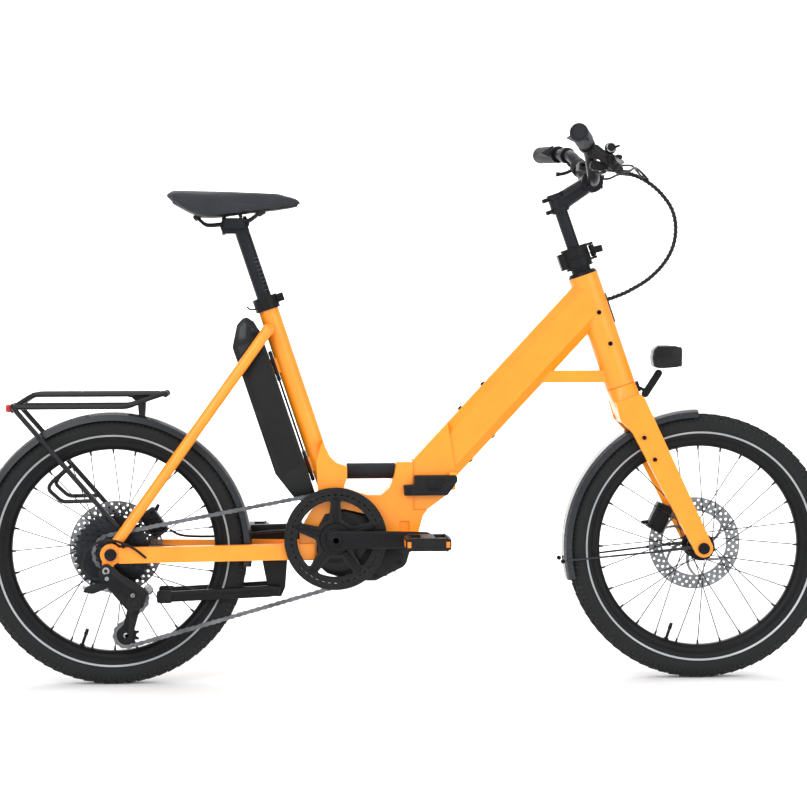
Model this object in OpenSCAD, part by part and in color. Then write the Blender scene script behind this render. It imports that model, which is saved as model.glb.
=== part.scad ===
// Folding electric bicycle with 20 inch wheels, drive side towards -Y, front towards +X.
// The origin is on the floor, midway between the rear mudguard and the front tyre.

/* [Wheels] */
// Distance between the two axles
wheelbase = 1130; // [1080:5:1200]
// Outer radius of a tyre
tyre_r = 257; // [250:1:262]
// Width of a tyre
tyre_w = 54; // [46:1:58]
// Outer radius of a rim
rim_r = 209; // [206:1:211]
// Depth of a rim's section
rim_depth = 16; // [12:1:22]
// Width of a rim
rim_w = 28; // [25:1:32]
// Number of spokes in a wheel
spoke_count = 28; // [20:4:36]
// Radius of a brake disc
rotor_r = 90; // [80:5:90]
// Width between the rear dropouts
rear_hub_w = 148; // [142:1:150]
// Width between the fork ends
front_hub_w = 100; // [96:1:104]
// Radius of both axles
axle_r = 6; // [5:0.5:6]

/* [Frame] */
// Lean of the steering axis from vertical
steer_lean = 19; // [17:0.5:21]
// Length of the head tube
head_tube_h = 226; // [200:1:240]
// Radius of the head tube
head_tube_r = 29; // [28:0.5:32]
// Depth of the main beam's section
beam_depth = 83; // [60:1:90]
// Width of the main beam's section
beam_w = 57; // [50:1:58]
// Lean of the seat tube from vertical
seat_lean = 18.4; // [17:0.2:20]
// Radius of the seat tube
seat_tube_r = 19.5; // [18:0.5:21]
// Width of the bottom casting
casting_w = 76; // [70:1:80]
// Radius of the seat stays
stay_r = 10.5; // [9:0.5:11]
// Height of the chain stays
chain_stay_h = 30; // [26:1:34]
// Width of the chain stays
chain_stay_w = 16; // [12:1:18]

/* [Fold hinge] */
// Radius of the hinge pin
hinge_pin_r = 6; // [5:0.5:7]
// Radius of the hinge knuckles
knuckle_r = 13; // [12:0.5:14]
// Distance of the hinge pin from the middle plane
hinge_y = 45; // [44:1:48]

/* [Drive] */
// Teeth on the chainring
ring_teeth = 44; // [38:1:46]
// Teeth on the sprocket that the chain is on
cog_teeth = 17; // [15:1:20]
// Teeth on each derailleur pulley
pulley_teeth = 11; // [10:1:12]
// Length of a crank, between its two axles
crank_l = 170; // [165:1:175]
// Radius of the bottom bracket spindle
spindle_r = 12; // [11:0.5:13]
// Radius of the chain guard
guard_r = 98; // [97:1:102]
// Width of the motor
motor_w = 88; // [80:1:92]

/* [Battery] */
// Width of the battery
battery_w = 72; // [66:1:74]

/* [Seat] */
// Radius of the seat post
post_r = 14.3; // [13.6:0.1:15.4]
// Length of the seat post
post_l = 330; // [300:5:350]
// Width of the saddle
saddle_w = 156; // [140:2:180]

/* [Handlebar] */
// Width of the handlebar
bar_w = 610; // [560:10:640]
// Radius of the handlebar
bar_r = 11; // [10.5:0.1:11.5]
// Radius of the sliding stem mast
mast_r = 12.7; // [12:0.1:13]
// Radius of the grips
grip_r = 17; // [15:0.5:18]

/* [Carrier and mudguards] */
// Radius of the carrier's tubes
rack_tube_r = 5; // [4:0.5:6]
// Width of a mudguard
fender_w = 62; // [58:1:64]
// Thickness of a mudguard
fender_t = 2; // [1.5:0.1:2.5]
// Gap between a tyre and its mudguard
fender_gap = 6; // [5:0.5:8]

/* [Hidden] */
$fn = 48;

paint = "#FFA62E";
black = "#26272A";
dark = "#3A3B40";
silver = "#B9BABD";

gap = 0.3;           // between solids that do not run on each other
running = 0.05;      // radial clearance of a shaft in its bore
eps = 1;             // overrun of a cutting body
fender_r = tyre_r + fender_gap + fender_t;
origin_x = (wheelbase + tyre_r - fender_r) / 2;

// Side-view points are [x, z], with x from the rear axle and z from the floor.
rear_axle_at = [0, tyre_r];
front_axle_at = [wheelbase, tyre_r];
crown_at = [wheelbase - 152, 568];
bracket_at = [424, 281];
seat_top = [294, 730];
hinge_x = 573;
hinge_low = 333;
hinge_high = 425;
dropout_t = 10;
dropout_r = 20;
fork_end_r = 18;
leg_t = 12;

// ---- Helpers ----
module on_floor() translate([-origin_x, 0, 0]) children();
// Lets a flat drawing in x and z stand upright, with its height along -Y.
module upright(p = [0, 0], y = 0) translate([p[0], y, p[1]]) rotate([90, 0, 0]) children();
// A flat drawing in x and z, thick from y0 to y1.
module slab(y0, y1) translate([0, y1, 0]) rotate([90, 0, 0]) linear_extrude(y1 - y0) children();
// A round disc on a line across the bicycle, from y0 to y1.
module disc(p, r, y0, y1) upright(p, y1) cylinder(h = y1 - y0, r = r);
module ring(p, r_out, r_in, y0, y1) upright(p, y1) difference() {
  cylinder(h = y1 - y0, r = r_out);
  translate([0, 0, -eps]) cylinder(h = y1 - y0 + 2 * eps, r = r_in);
}
module both_sides() {
  children();
  mirror([0, 1, 0]) children();
}
// Children drawn along +Z run from a towards b.
module along(a, b) {
  d = b - a;
  translate(a) rotate([0, acos(d[2] / norm(d)), atan2(d[1], d[0])]) children();
}
module rod(a, b, r) along(a, b) cylinder(h = norm(b - a), r = r);
module wheel_bar(p, q, r1, r2) {
  d = q - p;
  l = norm(d);
  a = asin((r1 - r2) / l);
  t = atan2(d[1], d[0]);
  circle(r = r1);
  translate(d) circle(r = r2);
  polygon([for (s = [1, -1]) for (k = [0, 1])
    let (on = s > 0 ? k : 1 - k, n = t + s * (90 - a))
    on * d + (on > 0 ? r2 : r1) * [cos(n), sin(n)]]);
}
function unit(v) = v / norm(v);
function xz(p, y) = [p[0], y, p[1]];

// ---- Swept tubes ----
function tangents(p) = [for (i = [0 : len(p) - 1])
  unit(p[min(i + 1, len(p) - 1)] - p[max(i - 1, 0)])];
function square_to(v, t) = unit(v - (v * t) * t);
function sides_of(t, i, last) = i == len(t) ? [] :
  let (s = square_to(last, t[i])) concat([s], sides_of(t, i + 1, s));
module swept(p, r, sides = 8, start = [0.1, 0.2, 1]) {
  t = tangents(p);
  s = sides_of(t, 0, start);
  last = len(p) - 1;
  points = [for (i = [0 : last]) for (k = [0 : sides - 1])
    p[i] + r * (cos(360 * k / sides) * s[i] + sin(360 * k / sides) * cross(t[i], s[i]))];
  walls = [for (i = [0 : last - 1]) for (k = [0 : sides - 1])
    let (n = (k + 1) % sides)
    [i * sides + k, (i + 1) * sides + k, (i + 1) * sides + n, i * sides + n]];
  faces = concat([[for (k = [0 : sides - 1]) k]], walls,
    [[for (k = [sides - 1 : -1 : 0]) last * sides + k]]);
  polyhedron(points, faces, convexity = 4);
}
// A smooth curve through a short list of points, with n steps between each two.
function curve_at(a, b, c, d, t) = 0.5 * (2 * b + (c - a) * t
  + (2 * a - 5 * b + 4 * c - d) * t * t + (3 * b - a - 3 * c + d) * t * t * t);
function curve(p, n) = concat(
  [for (i = [0 : len(p) - 2]) for (k = [0 : n - 1])
    curve_at(p[max(i - 1, 0)], p[i], p[i + 1], p[min(i + 2, len(p) - 1)], k / n)],
  [p[len(p) - 1]]);
// Rounds each inner corner of a bent tube with a short arc.
function bent(p, r, n = 4) = concat([p[0]],
  [for (i = [1 : len(p) - 2])
    let (a = p[i] + r * unit(p[i - 1] - p[i]), b = p[i] + r * unit(p[i + 1] - p[i]))
    for (k = [0 : n]) let (t = k / n) (1 - t) * (1 - t) * a + 2 * t * (1 - t) * p[i] + t * t * b],
  [p[len(p) - 1]]);

// ---- Steering and seat frames ----
module steerwise() translate(xz(crown_at, 0)) rotate([0, -steer_lean, 0]) children();
module seatwise() translate(xz(seat_top, 0)) rotate([0, -seat_lean, 0]) children();
function steer_point(x, z) = crown_at + [x * cos(steer_lean) - z * sin(steer_lean),
  x * sin(steer_lean) + z * cos(steer_lean)];
// The front axle, seen along the steering axis.
axle_back = front_axle_at - crown_at;
axle_local = [axle_back[0] * cos(steer_lean) + axle_back[1] * sin(steer_lean),
  axle_back[1] * cos(steer_lean) - axle_back[0] * sin(steer_lean)];

// ---- Wheels ----
tyre_mid_r = tyre_r - tyre_w / 2;
rim_wall = 1.6;
rim_floor = rim_r - 8;
rim_in = rim_r - rim_depth;
module tyre(p) upright(p) rotate_extrude() difference() {
  union() {
    intersection() {
      translate([tyre_mid_r, 0]) circle(r = tyre_w / 2);
      translate([rim_r + gap, -tyre_w]) square([tyre_w + eps, 2 * tyre_w]);
    }
    for (s = [-1, 1]) translate([rim_floor + 1, s > 0 ? 7.5 : -rim_w / 2 + rim_wall + gap])
      square([rim_r - rim_floor + 3, rim_w / 2 - rim_wall - gap - 7.5]);
  }
  translate([tyre_mid_r, 0]) circle(r = tyre_w / 2 - 3.5);
  translate([rim_floor - eps, -7.5]) square([16, 15]);
}
module rim(p) upright(p) rotate_extrude() polygon([
  [rim_in, -5], [rim_floor - 4, -rim_w / 2], [rim_r, -rim_w / 2],
  [rim_r, -rim_w / 2 + rim_wall], [rim_floor, -rim_w / 2 + rim_wall],
  [rim_floor, rim_w / 2 - rim_wall], [rim_r, rim_w / 2 - rim_wall],
  [rim_r, rim_w / 2], [rim_floor - 4, rim_w / 2], [rim_in, 5]]);
spoke_r = 1;
flange_r = 24;
spoke_lead = 50;     // angle between a spoke's two ends
module spokes(p, y_right, y_left) for (i = [0 : spoke_count - 1]) {
  side = i % 2 == 0 ? y_right : y_left;
  lead = (floor(i / 2) % 2 == 0 ? 1 : -1);
  a = 360 * i / spoke_count;
  h = a + lead * spoke_lead;
  out = lead < 0 ? 3.2 : -2.4;
  hub_end = [p[0] + flange_r * cos(h), side + sign(side) * out, p[1] + flange_r * sin(h)];
  rim_end = [p[0] + (rim_in - gap) * cos(a), (side > 0 ? 3 : -3), p[1] + (rim_in - gap) * sin(a)];
  rod(hub_end, rim_end, spoke_r);
}
flange_t = 2.6;
module hub(p, y_right, y_left, end_right, end_left, shell_r) difference() {
  union() {
    disc(p, shell_r, y_right, y_left);
    for (y = [y_right, y_left]) disc(p, flange_r + 3, y - flange_t / 2, y + flange_t / 2);
    disc(p, 11, end_right, end_left);
  }
  disc(p, axle_r + running, end_right - eps, end_left + eps);
}
rotor_t = 1.8;
module rotor(p, y) difference() {
  union() {
    ring(p, rotor_r, rotor_r - 15, y - rotor_t / 2, y + rotor_t / 2);
    ring(p, 27, 11 + gap, y - rotor_t / 2, y + rotor_t / 2);
    slab(y - rotor_t / 2, y + rotor_t / 2) translate(p)
      for (a = [0 : 60 : 300]) rotate(a) polygon([[20, 14], [26, 6], [76, -10], [78, -2]]);
  }
  for (a = [0 : 15 : 345]) disc(p + (rotor_r - 7.5) * [cos(a), sin(a)], 3.2, y - eps - 1, y + eps + 1);
}
rear_disc_y = rear_hub_w / 2 - 20;
front_disc_y = front_hub_w / 2 - 8;
rear_flange_right = -26;
rear_flange_left = 34;
front_flange = 30;
cog_pack_end = -30;

module rear_tyre() on_floor() color(black) tyre(rear_axle_at);
module rear_rim() on_floor() color(black) rim(rear_axle_at);
module rear_spokes() on_floor() color(dark)
  spokes(rear_axle_at, rear_flange_right, rear_flange_left);
module rear_hub() on_floor() color(black)
  hub(rear_axle_at, rear_flange_right, rear_flange_left, cog_pack_end + gap, rear_hub_w / 2 - gap, 19);
module rear_rotor() on_floor() color(silver) rotor(rear_axle_at, rear_disc_y);
module front_tyre() on_floor() color(black) tyre(front_axle_at);
module front_rim() on_floor() color(black) rim(front_axle_at);
module front_spokes() on_floor() color(dark)
  spokes(front_axle_at, -front_flange, front_flange - 2);
module front_hub() on_floor() color(black)
  hub(front_axle_at, -front_flange, front_flange - 2, gap - front_hub_w / 2, front_hub_w / 2 - gap, 16);
module front_rotor() on_floor() color(silver) rotor(front_axle_at, front_disc_y);
module through_axle(p, half_w) {
  disc(p, axle_r, -half_w, half_w);
  disc(p, 11, -half_w - 4, -half_w);
}
module rear_axle() on_floor() color(black)
  through_axle(rear_axle_at, rear_hub_w / 2 + dropout_t);
module front_axle() on_floor() color(black)
  through_axle(front_axle_at, front_hub_w / 2 + leg_t + 0.8);

// ---- Rear frame ----
seat_tube_l = 370;
module seat_bore() seatwise() translate([0, 0, -340]) cylinder(h = 360, r = post_r + running);
cradle = [[356, 238], [356, 296], [376, 330], [392, 352], [388, 430], [400, 466], [414, 436],
  [427, 424], [447, 417], [447, 395], [440, 376], [486, 362], [512, 362], [528, 376],
  [537, 398], [542, hinge_high], [hinge_x, hinge_high], [hinge_x, hinge_low],
  [600, hinge_low], [592, 322], [583, 290], [580, 264], [540, 264], [520, 294],
  [484, 326], [440, 336], [404, 326], [388, 296], [388, 238]];
handle_r = 11;
handle_z = 406;
// The knuckles that a half of the hinge holds, as [bottom, top].
rear_knuckles = [[hinge_low + 7, hinge_low + 32], [hinge_high - 30, hinge_high - 5]];
front_knuckles = [[hinge_low + 32 + gap, hinge_high - 30 - gap]];
module knuckle(span, side) difference() {
  union() {
    translate([hinge_x, hinge_y, span[0]]) cylinder(h = span[1] - span[0], r = knuckle_r);
    translate([side > 0 ? hinge_x + gap : hinge_x - 20, 30, span[0]])
      cube([20 - (side > 0 ? gap : 0), hinge_y - 30, span[1] - span[0]]);
  }
  translate([hinge_x, hinge_y, span[0] - eps])
    cylinder(h = span[1] - span[0] + 2 * eps, r = hinge_pin_r + (side > 0 ? running : 0));
}
module knuckle_room(span) translate([hinge_x, hinge_y, span[0] - gap])
  cylinder(h = span[1] - span[0] + 2 * gap, r = knuckle_r + 2 * gap);
module rear_frame() on_floor() color(paint) difference() {
  union() {
    seatwise() translate([0, 0, -seat_tube_l]) cylinder(h = seat_tube_l, r = seat_tube_r);
    difference() {
      slab(-casting_w / 2, casting_w / 2) polygon(cradle);
      for (k = front_knuckles) knuckle_room(k);
      for (k = rear_knuckles) translate([hinge_x, hinge_y, k[0]])
        cylinder(h = k[1] - k[0], r = knuckle_r);
      slab(-casting_w / 2 - eps, 4 - casting_w / 2) translate([547, 292]) square([19, 20]);
    }
    rod([440, 0, handle_z], [545, 0, handle_z], handle_r);
    for (k = rear_knuckles) knuckle(k, -1);
    for (z = [-335, -135]) seatwise() translate([gap - battery_front, -12, z]) cube([12, 24, 30]);
  }
  seat_bore();
  translate([hinge_x, hinge_y, hinge_high - 5]) cylinder(h = 10, r = hinge_pin_r + 3 + gap);
}
stay_foot = [11, 279.2];
stay_knee = [297, 678];
stay_foot_y = 79.5;
stay_knee_y = 50;
module seat_stays() on_floor() color(paint) difference() {
  both_sides() {
    rod(xz(stay_foot, stay_foot_y), xz(stay_knee + [2.9, 4.05], stay_knee_y - 0.3), stay_r);
    rod(xz(stay_knee, stay_knee_y), xz(stay_knee + [5, 3], 12), stay_r - 0.5);
  }
  seatwise() translate([0, 0, -100]) cylinder(h = 100 + eps, r = seat_tube_r + 0.02);
  both_sides() disc(rear_axle_at, dropout_r + 0.02, 60, 100);
}
chain_stay_end = [384, 35, 255];
chain_stay_foot = [14, 78, 255];
module chain_stay() {
  along(chain_stay_foot, chain_stay_end) translate([-chain_stay_h / 2, -chain_stay_w / 2, 0])
    cube([chain_stay_h, chain_stay_w, norm(chain_stay_end - chain_stay_foot)]);
}
module chain_stays() on_floor() color(paint) difference() {
  union() {
    both_sides() {
      difference() {
        chain_stay();
        slab(-casting_w / 2 - 0.02, casting_w / 2 + 0.02)
          translate([cradle[0][0] - 0.02, 200]) square([60, 100]);
        disc(rear_axle_at, dropout_r, 0, rear_hub_w / 2);
      }
      disc(rear_axle_at, dropout_r, rear_hub_w / 2, rear_hub_w / 2 + dropout_t);
    }
    // The bridge that carries the kickstand, behind the motor
    translate([292, -44, 246]) cube([40, 88, 14]);
    // The hanger under the drive side dropout
    slab(-rear_hub_w / 2 - dropout_t, -rear_hub_w / 2) polygon([[-16, 245], [-18, 222], [2, 220], [8, 245]]);
  }
  disc(rear_axle_at, axle_r, -100, 100);
}
module handle_grip() on_floor() color(black) difference() {
  rod([449, 0, handle_z], [531, 0, handle_z], 15.5);
  rod([440, 0, handle_z], [545, 0, handle_z], handle_r + 0.02);
}
module hinge_pin() on_floor() color(silver) union() {
  translate([hinge_x, hinge_y, hinge_low + 7]) cylinder(h = hinge_high - hinge_low - 12, r = hinge_pin_r);
  translate([hinge_x, hinge_y, hinge_high - 5]) cylinder(h = 4, r = hinge_pin_r + 3);
}
// ---- Motor and battery ----
motor_side = [[389, 239], [392, 226], [408, 212], [432, 204], [483, 197], [501, 197], [554, 223],
  [560, 229], [566, 250], [575, 263.5], [539, 263.5], [519, 293], [483.5, 325], [440, 335],
  [405, 325], [389, 295]];
module motor() on_floor() color(black) difference() {
  slab(-motor_w / 2, motor_w / 2) polygon(motor_side);
  disc(bracket_at, spindle_r + running, -100, 100);
}
battery_front = 28;
battery_depth = 60;
battery_low = -385;
battery_high = -14;
// The battery's outline in the seat tube's frame, which is measured from its top
battery_side = [[-battery_front, battery_low + 8], [-battery_front, battery_high - 38],
  [-34, battery_high - 12], [-44, battery_high], [-52, battery_high],
  [-66, battery_high - 8], [-28 - battery_depth, battery_high - 46],
  [-28 - battery_depth, battery_low + 70], [-68, battery_low + 14], [-52, battery_low]];
module battery() on_floor() color(black) seatwise()
  slab(-battery_w / 2, battery_w / 2) polygon(battery_side);

// ---- Seat ----
module seat_clamp() on_floor() color(black) seatwise() difference() {
  union() {
    translate([0, 0, -14]) cylinder(h = 26, r = 24);
    translate([18, -7, -6]) cube([18, 14, 16]);
  }
  translate([0, 0, -15]) cylinder(h = 15, r = seat_tube_r + 0.02);
  translate([0, 0, -1]) cylinder(h = 15, r = post_r + gap);
  translate([16, -1.5, -16]) cube([24, 3, 32]);
}
post_top = 148;
rail_y = 22;
rail_r = 3.5;
module seat_post() on_floor() color(dark) difference() {
  union() {
    seatwise() translate([0, 0, post_top - post_l]) cylinder(h = post_l, r = post_r);
    slab(-16, 16) polygon([[212, 862], [262, 862], [262, 872], [250, 892], [218, 892], [208, 872]]);
    for (y = [-rail_y, rail_y]) translate([234, y, 881]) cube([40, 12, 18], center = true);
  }
  seatwise() translate([0, 0, post_top - post_l - eps]) cylinder(h = post_l - 30, r = post_r - 2.4);
  for (s = [-1, 1]) rod([180, s * rail_y, 878.5], [262, s * rail_y, 884], rail_r + 0.02);
}
rail_route = [[312, 10, 900], [290, 16, 897], [262, rail_y, 884], [180, rail_y, 878.5],
  [166, 27, 886], [160, 32, 896]];
module saddle_rails() on_floor() color(dark) both_sides() {
  rod(rail_route[3], rail_route[2], rail_r);
  swept(curve([for (i = [0 : 2]) rail_route[i]], 3), rail_r, 12);
  swept(curve([for (i = [3 : 5]) rail_route[i]], 3), rail_r, 12);
}
saddle_tail_r = 38;
module saddle_form(inset, z0, z1, nose_z0, nose_z1) hull() {
  for (s = [-1, 1]) translate([102 + saddle_tail_r, s * (saddle_w / 2 - saddle_tail_r), z0])
    cylinder(h = z1 - z0, r = saddle_tail_r - inset, $fn = 32);
  translate([344, 0, nose_z0]) cylinder(h = nose_z1 - nose_z0, r = 20 - inset, $fn = 32);
}
module saddle_shell() on_floor() color(black) saddle_form(5, 901, 910, 905, 910);
module saddle_pad() on_floor() color(dark) saddle_form(0, 910.3, 942, 910.3, 936);

// ---- Kickstand ----
stand_pivot = [310, 180];
stand_y = 37;
module kickstand_bracket() on_floor() color(black) difference() {
  union() {
    translate([282, -30, 238]) cube([54, 60, 7.7]);
    for (s = [-1, 1]) slab(s * 22 - 5, s * 22 + 5)
      polygon([[284, 238], [332, 238], [328, 186], [320, 168], [300, 168], [294, 186]]);
  }
  disc(stand_pivot, 7 + running, -40, 40);
}
module kickstand() on_floor() color(black) {
  disc(stand_pivot, 7, -stand_y, stand_y);
  both_sides() {
    slab(stand_y - 6, stand_y + 6) polygon([[324, 192], [296, 194], [90, 182], [86, 168], [92, 158],
      [296, 166], [318, 168]]);
    slab(stand_y - 7, stand_y + 8) polygon([[112, 184.5], [84, 184], [80, 168], [88, 155], [112, 156]]);
  }
}
// ---- Mudguards ----
module fender(p, from, to) upright(p) rotate([0, 0, from]) rotate_extrude(angle = to - from)
  polygon([[fender_r - 15, -fender_w / 2], [fender_r - 4, -fender_w / 2 + 2], [fender_r, -fender_w / 2 + 12],
    [fender_r, fender_w / 2 - 12], [fender_r - 4, fender_w / 2 - 2], [fender_r - 15, fender_w / 2],
    [fender_r - 15, fender_w / 2 - fender_t], [fender_r - 5, fender_w / 2 - 4],
    [fender_r - fender_t, fender_w / 2 - 13], [fender_r - fender_t, 13 - fender_w / 2],
    [fender_r - 5, 4 - fender_w / 2], [fender_r - 15, fender_t - fender_w / 2]]);
module rear_fender() on_floor() color(dark) fender(rear_axle_at, -7, 188);
front_stay_end = [wheelbase - 16.5, 258];
front_stay_y = front_hub_w / 2 - 3.4;
module front_fender() on_floor() color(dark) {
  fender(front_axle_at, 91, 194);
  both_sides() {
    rod([868, fender_w / 2 - 1, 232], [1036, front_stay_y, 249], 2);
    rod([1036, front_stay_y, 249], xz(front_stay_end, front_stay_y), 3);
    disc(front_stay_end, 4, front_stay_y - 2.9, front_hub_w / 2 - gap);
  }
}
// ---- Carrier ----
deck_y = 28;
rail_out_y = 48;
rack_leg_y = 62;
deck_z = 557;
module luggage_rack() on_floor() color(black) {
  both_sides() {
    swept(bent([[102, deck_y, deck_z], [-148, deck_y, deck_z], [-180, deck_y + 12, 536]], 12), rack_tube_r);
    swept(bent([[96, deck_y, deck_z], [74, deck_y + 5, 550], [30, rail_out_y, 534], [-184, rail_out_y, 534],
      [-178, 54, 527], [12, rack_leg_y, 306]], 8), rack_tube_r);
    swept(bent([[-84, 58, 417], [-112, 66, 392], [-118, 66, 380], [-92, 66, 356], [-32, 62, 357]], 8), 4);
    rod([12, rack_leg_y, 306], [15, 67.5, 304.5], 4);
  }
  for (x = [90, -60, -148]) rod([x, -deck_y, deck_z], [x, deck_y, deck_z], 4);
  rod([-184, -rail_out_y, 534], [-184, rail_out_y, 534], rack_tube_r);
  slab(-14, 14) polygon([[34, 552.5], [72, 554], [64, 540], [62, 515.2], [50, 517.7], [48, 540]]);
  slab(-deck_y, deck_y) polygon([[32, 551], [76, 551], [76, 554], [32, 554]]);
}
module tail_light() on_floor() color("#8E1B1B")
  translate([-201, -28, 523]) cube([11.7, 56, 16]);

// ---- Brakes ----
// A brake caliper's block, open towards -X where the disc runs in it
module caliper_block() {
  difference() {
    translate([-17, -17, -28]) cube([34, 34, 56]);
    translate([-60, -3, -60]) cube([68, 6, 120]);
  }
}
rear_caliper_at = [74, 304];
front_caliper_at = [1061, 308];
module rear_caliper() on_floor() color(black) difference() {
  translate(xz(rear_caliper_at, rear_disc_y)) rotate([0, -35, 0])
    caliper_block();
  rod(xz(stay_foot, stay_foot_y), xz(stay_knee, stay_knee_y), stay_r + 0.02);
  chain_stay();
}
module front_caliper() on_floor() color(black) difference() {
  translate(xz(front_caliper_at, front_disc_y)) rotate([0, 180 + 25, 0]) caliper_block();
  fork_leg();
}

// ---- Chain drive ----
pitch = 12.7;
function pitch_r(teeth) = pitch / (2 * sin(180 / teeth));
ring_r = pitch_r(ring_teeth);
cog_r = pitch_r(cog_teeth);
pulley_r = pitch_r(pulley_teeth);
chain_y = -52;
guide_at = [44, 168];
tension_at = [26, 100];
tooth_t = 2.2;
module toothed(p, teeth, r_in, t, y) {
  r = pitch_r(teeth);
  slab(y - t / 2, y + t / 2) translate(p) difference() {
    polygon([for (i = [0 : teeth - 1]) for (k = [[-0.32, -3.6], [-0.12, 2.4], [0.12, 2.4], [0.32, -3.6]])
      (r + k[1]) * [cos(360 * (i + k[0] + 0.5) / teeth), sin(360 * (i + k[0] + 0.5) / teeth)]]);
    circle(r = r_in);
  }
}
// The tangent from circle a to circle b: sa and sb say on which side of the line each lies.
function tangent(a, ra, sa, b, rb, sb, turn) =
  let (d = b - a, l = norm(d), u = d / l, w = [-u[1], u[0]],
    beta = turn * acos((sa * ra - sb * rb) / l), n = cos(beta) * u + sin(beta) * w)
  [a + sa * ra * n, b + sb * rb * n];
top_run = tangent(rear_axle_at, cog_r, 1, bracket_at, ring_r, 1, 1);
low_run = tangent(tension_at, pulley_r, 1, bracket_at, ring_r, 1, -1);
cage_run = tangent(tension_at, pulley_r, 1, guide_at, pulley_r, -1, 1);
cog_run = tangent(guide_at, pulley_r, 1, rear_axle_at, cog_r, -1, -1);
function bearing(c, p) = atan2(p[1] - c[1], p[0] - c[0]);
// Points along an arc from p to q about c, clockwise when turn is -1.
function arc(c, p, q, turn, n) =
  let (a = bearing(c, p), b = bearing(c, q), r = norm(p - c),
    sweep = turn < 0 ? -((a - b + 720) % 360) : (b - a + 720) % 360)
  [for (k = [0 : n]) c + r * [cos(a + sweep * k / n), sin(a + sweep * k / n)]];
chain_route = concat(
  arc(rear_axle_at, cog_run[1], top_run[0], -1, 14),
  arc(bracket_at, top_run[1], low_run[1], -1, 26),
  arc(tension_at, low_run[0], cage_run[0], -1, 10),
  arc(guide_at, cage_run[1], cog_run[0], 1, 8));
function beside(p, h) = [for (i = [0 : len(p) - 1])
  let (t = unit(p[(i + 1) % len(p)] - p[(i + len(p) - 1) % len(p)])) p[i] + h * [-t[1], t[0]]];
chain_h = 4;
plate_in = 2.4;
plate_out = 3.5;
module roller_row(run) {
  l = norm(run[1] - run[0]);
  u = (run[1] - run[0]) / l;
  for (s = [3 * pitch : 2 * pitch : l - 3 * pitch])
    disc(run[0] + s * u, 3, chain_y - plate_in - 0.2, chain_y + plate_in + 0.2);
}
module chain() on_floor() color(silver) {
  for (s = [0, 1]) slab(chain_y + (s > 0 ? plate_in : -plate_out), chain_y + (s > 0 ? plate_out : -plate_in))
    difference() {
      polygon(beside(chain_route, chain_h));
      polygon(beside(chain_route, -chain_h));
    }
  roller_row(top_run);
  roller_row(low_run);
}
arm_in = 78;
arm_t = 14;
pedal_w = 86;
pedal_in = 97;
module crank_arm(q, y0, y1) slab(y0, y1) translate(bracket_at) wheel_bar([0, 0], q, 18.5, 15);
module pedal_axle(q, s)
  disc(bracket_at + q, 6.5, s > 0 ? arm_in : -pedal_in - 74, s > 0 ? pedal_in + 74 : -arm_in);
module crankset() on_floor() color(black) {
  disc(bracket_at, spindle_r, -arm_in, arm_in);
  crank_arm([crank_l, 0], -arm_in - arm_t, -arm_in);
  crank_arm([-crank_l, 0], arm_in, arm_in + arm_t);
  pedal_axle([crank_l, 0], -1);
  pedal_axle([-crank_l, 0], 1);
}
module pedal(x, s) {
  p = bracket_at + [x, 0];
  difference() {
    union() {
      slab(s > 0 ? pedal_in : -pedal_in - pedal_w, s > 0 ? pedal_in + pedal_w : -pedal_in)
        translate(p)
          polygon([[-42, -7], [-36, -12], [36, -12], [42, -7], [42, 7], [36, 12], [-36, 12], [-42, 7]]);
    }
    for (k = [-1, 1]) slab(s > 0 ? pedal_in + 14 : -pedal_in - pedal_w + 14,
      s > 0 ? pedal_in + pedal_w - 14 : -pedal_in - 14)
      translate(p + [k * 23, 0]) square([20, 40], center = true);
    disc(p, 6.5 + running, s > 0 ? pedal_in - eps : -pedal_in - 76, s > 0 ? pedal_in + 76 : -pedal_in + eps);
  }
}
module pedal_right() on_floor() color(black) pedal(crank_l, -1);
module pedal_left() on_floor() color(black) pedal(-crank_l, 1);
ring_in = ring_r - 16;
module chainring() on_floor() color(dark) toothed(bracket_at, ring_teeth, ring_in, tooth_t, chain_y);
spider_y = -57.7;
module chain_guard() on_floor() color(black) difference() {
  union() {
    ring(bracket_at, guard_r, 78, spider_y - 4, spider_y);
    slab(spider_y - 6, spider_y) translate(bracket_at) {
      circle(r = 30);
      for (a = [18 : 72 : 306]) rotate(a) translate([0, -11]) square([82, 22]);
    }
    for (a = [18 : 72 : 306])
      disc(bracket_at + (ring_in + 7) * [cos(a), sin(a)], 4, spider_y - 1, chain_y - tooth_t / 2);
  }
  disc(bracket_at, spindle_r, -100, 0);
  for (a = [0 : 12 : 348]) disc(bracket_at + 87 * [cos(a), sin(a)], 2.4, -80, spider_y + 1);
}
cog_sizes = [36, 30, 24, 20, 17, 15, 13, 11];
cog_step = 4.8;
cog_first = chain_y + 4 * cog_step;
module cassette() on_floor() color(silver) difference() {
  union() {
    for (i = [0 : len(cog_sizes) - 1])
      toothed(rear_axle_at, cog_sizes[i], 12, 1.8, cog_first - i * cog_step);
    disc(rear_axle_at, 15, cog_first - 7 * cog_step - 3, cog_pack_end);
  }
  disc(rear_axle_at, axle_r + running, -100, 0);
}
cage_gap = 5.2;
plate_t = 1.6;
knuckle_at = guide_at;
hanger_bolt = [-8, 228];
module derailleur() on_floor() color(black) difference() {
  union() {
    disc(hanger_bolt, 12, -rear_hub_w / 2 - dropout_t - 16, -rear_hub_w / 2 - dropout_t - gap);
    slab(-98, -84.5) polygon([[-20, 222], [4, 232], [66, 190], [62, 160], [34, 150], [-14, 206]]);
    disc(knuckle_at, 16, -98, chain_y - cage_gap - plate_t - gap);
    disc([70, 190], 9, -90, -78);
  }
  disc(knuckle_at, 4 + running, -80, 0);
}
module pulley(p) difference() {
  toothed(p, pulley_teeth, 3 + running, 2.2, chain_y);
}
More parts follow.
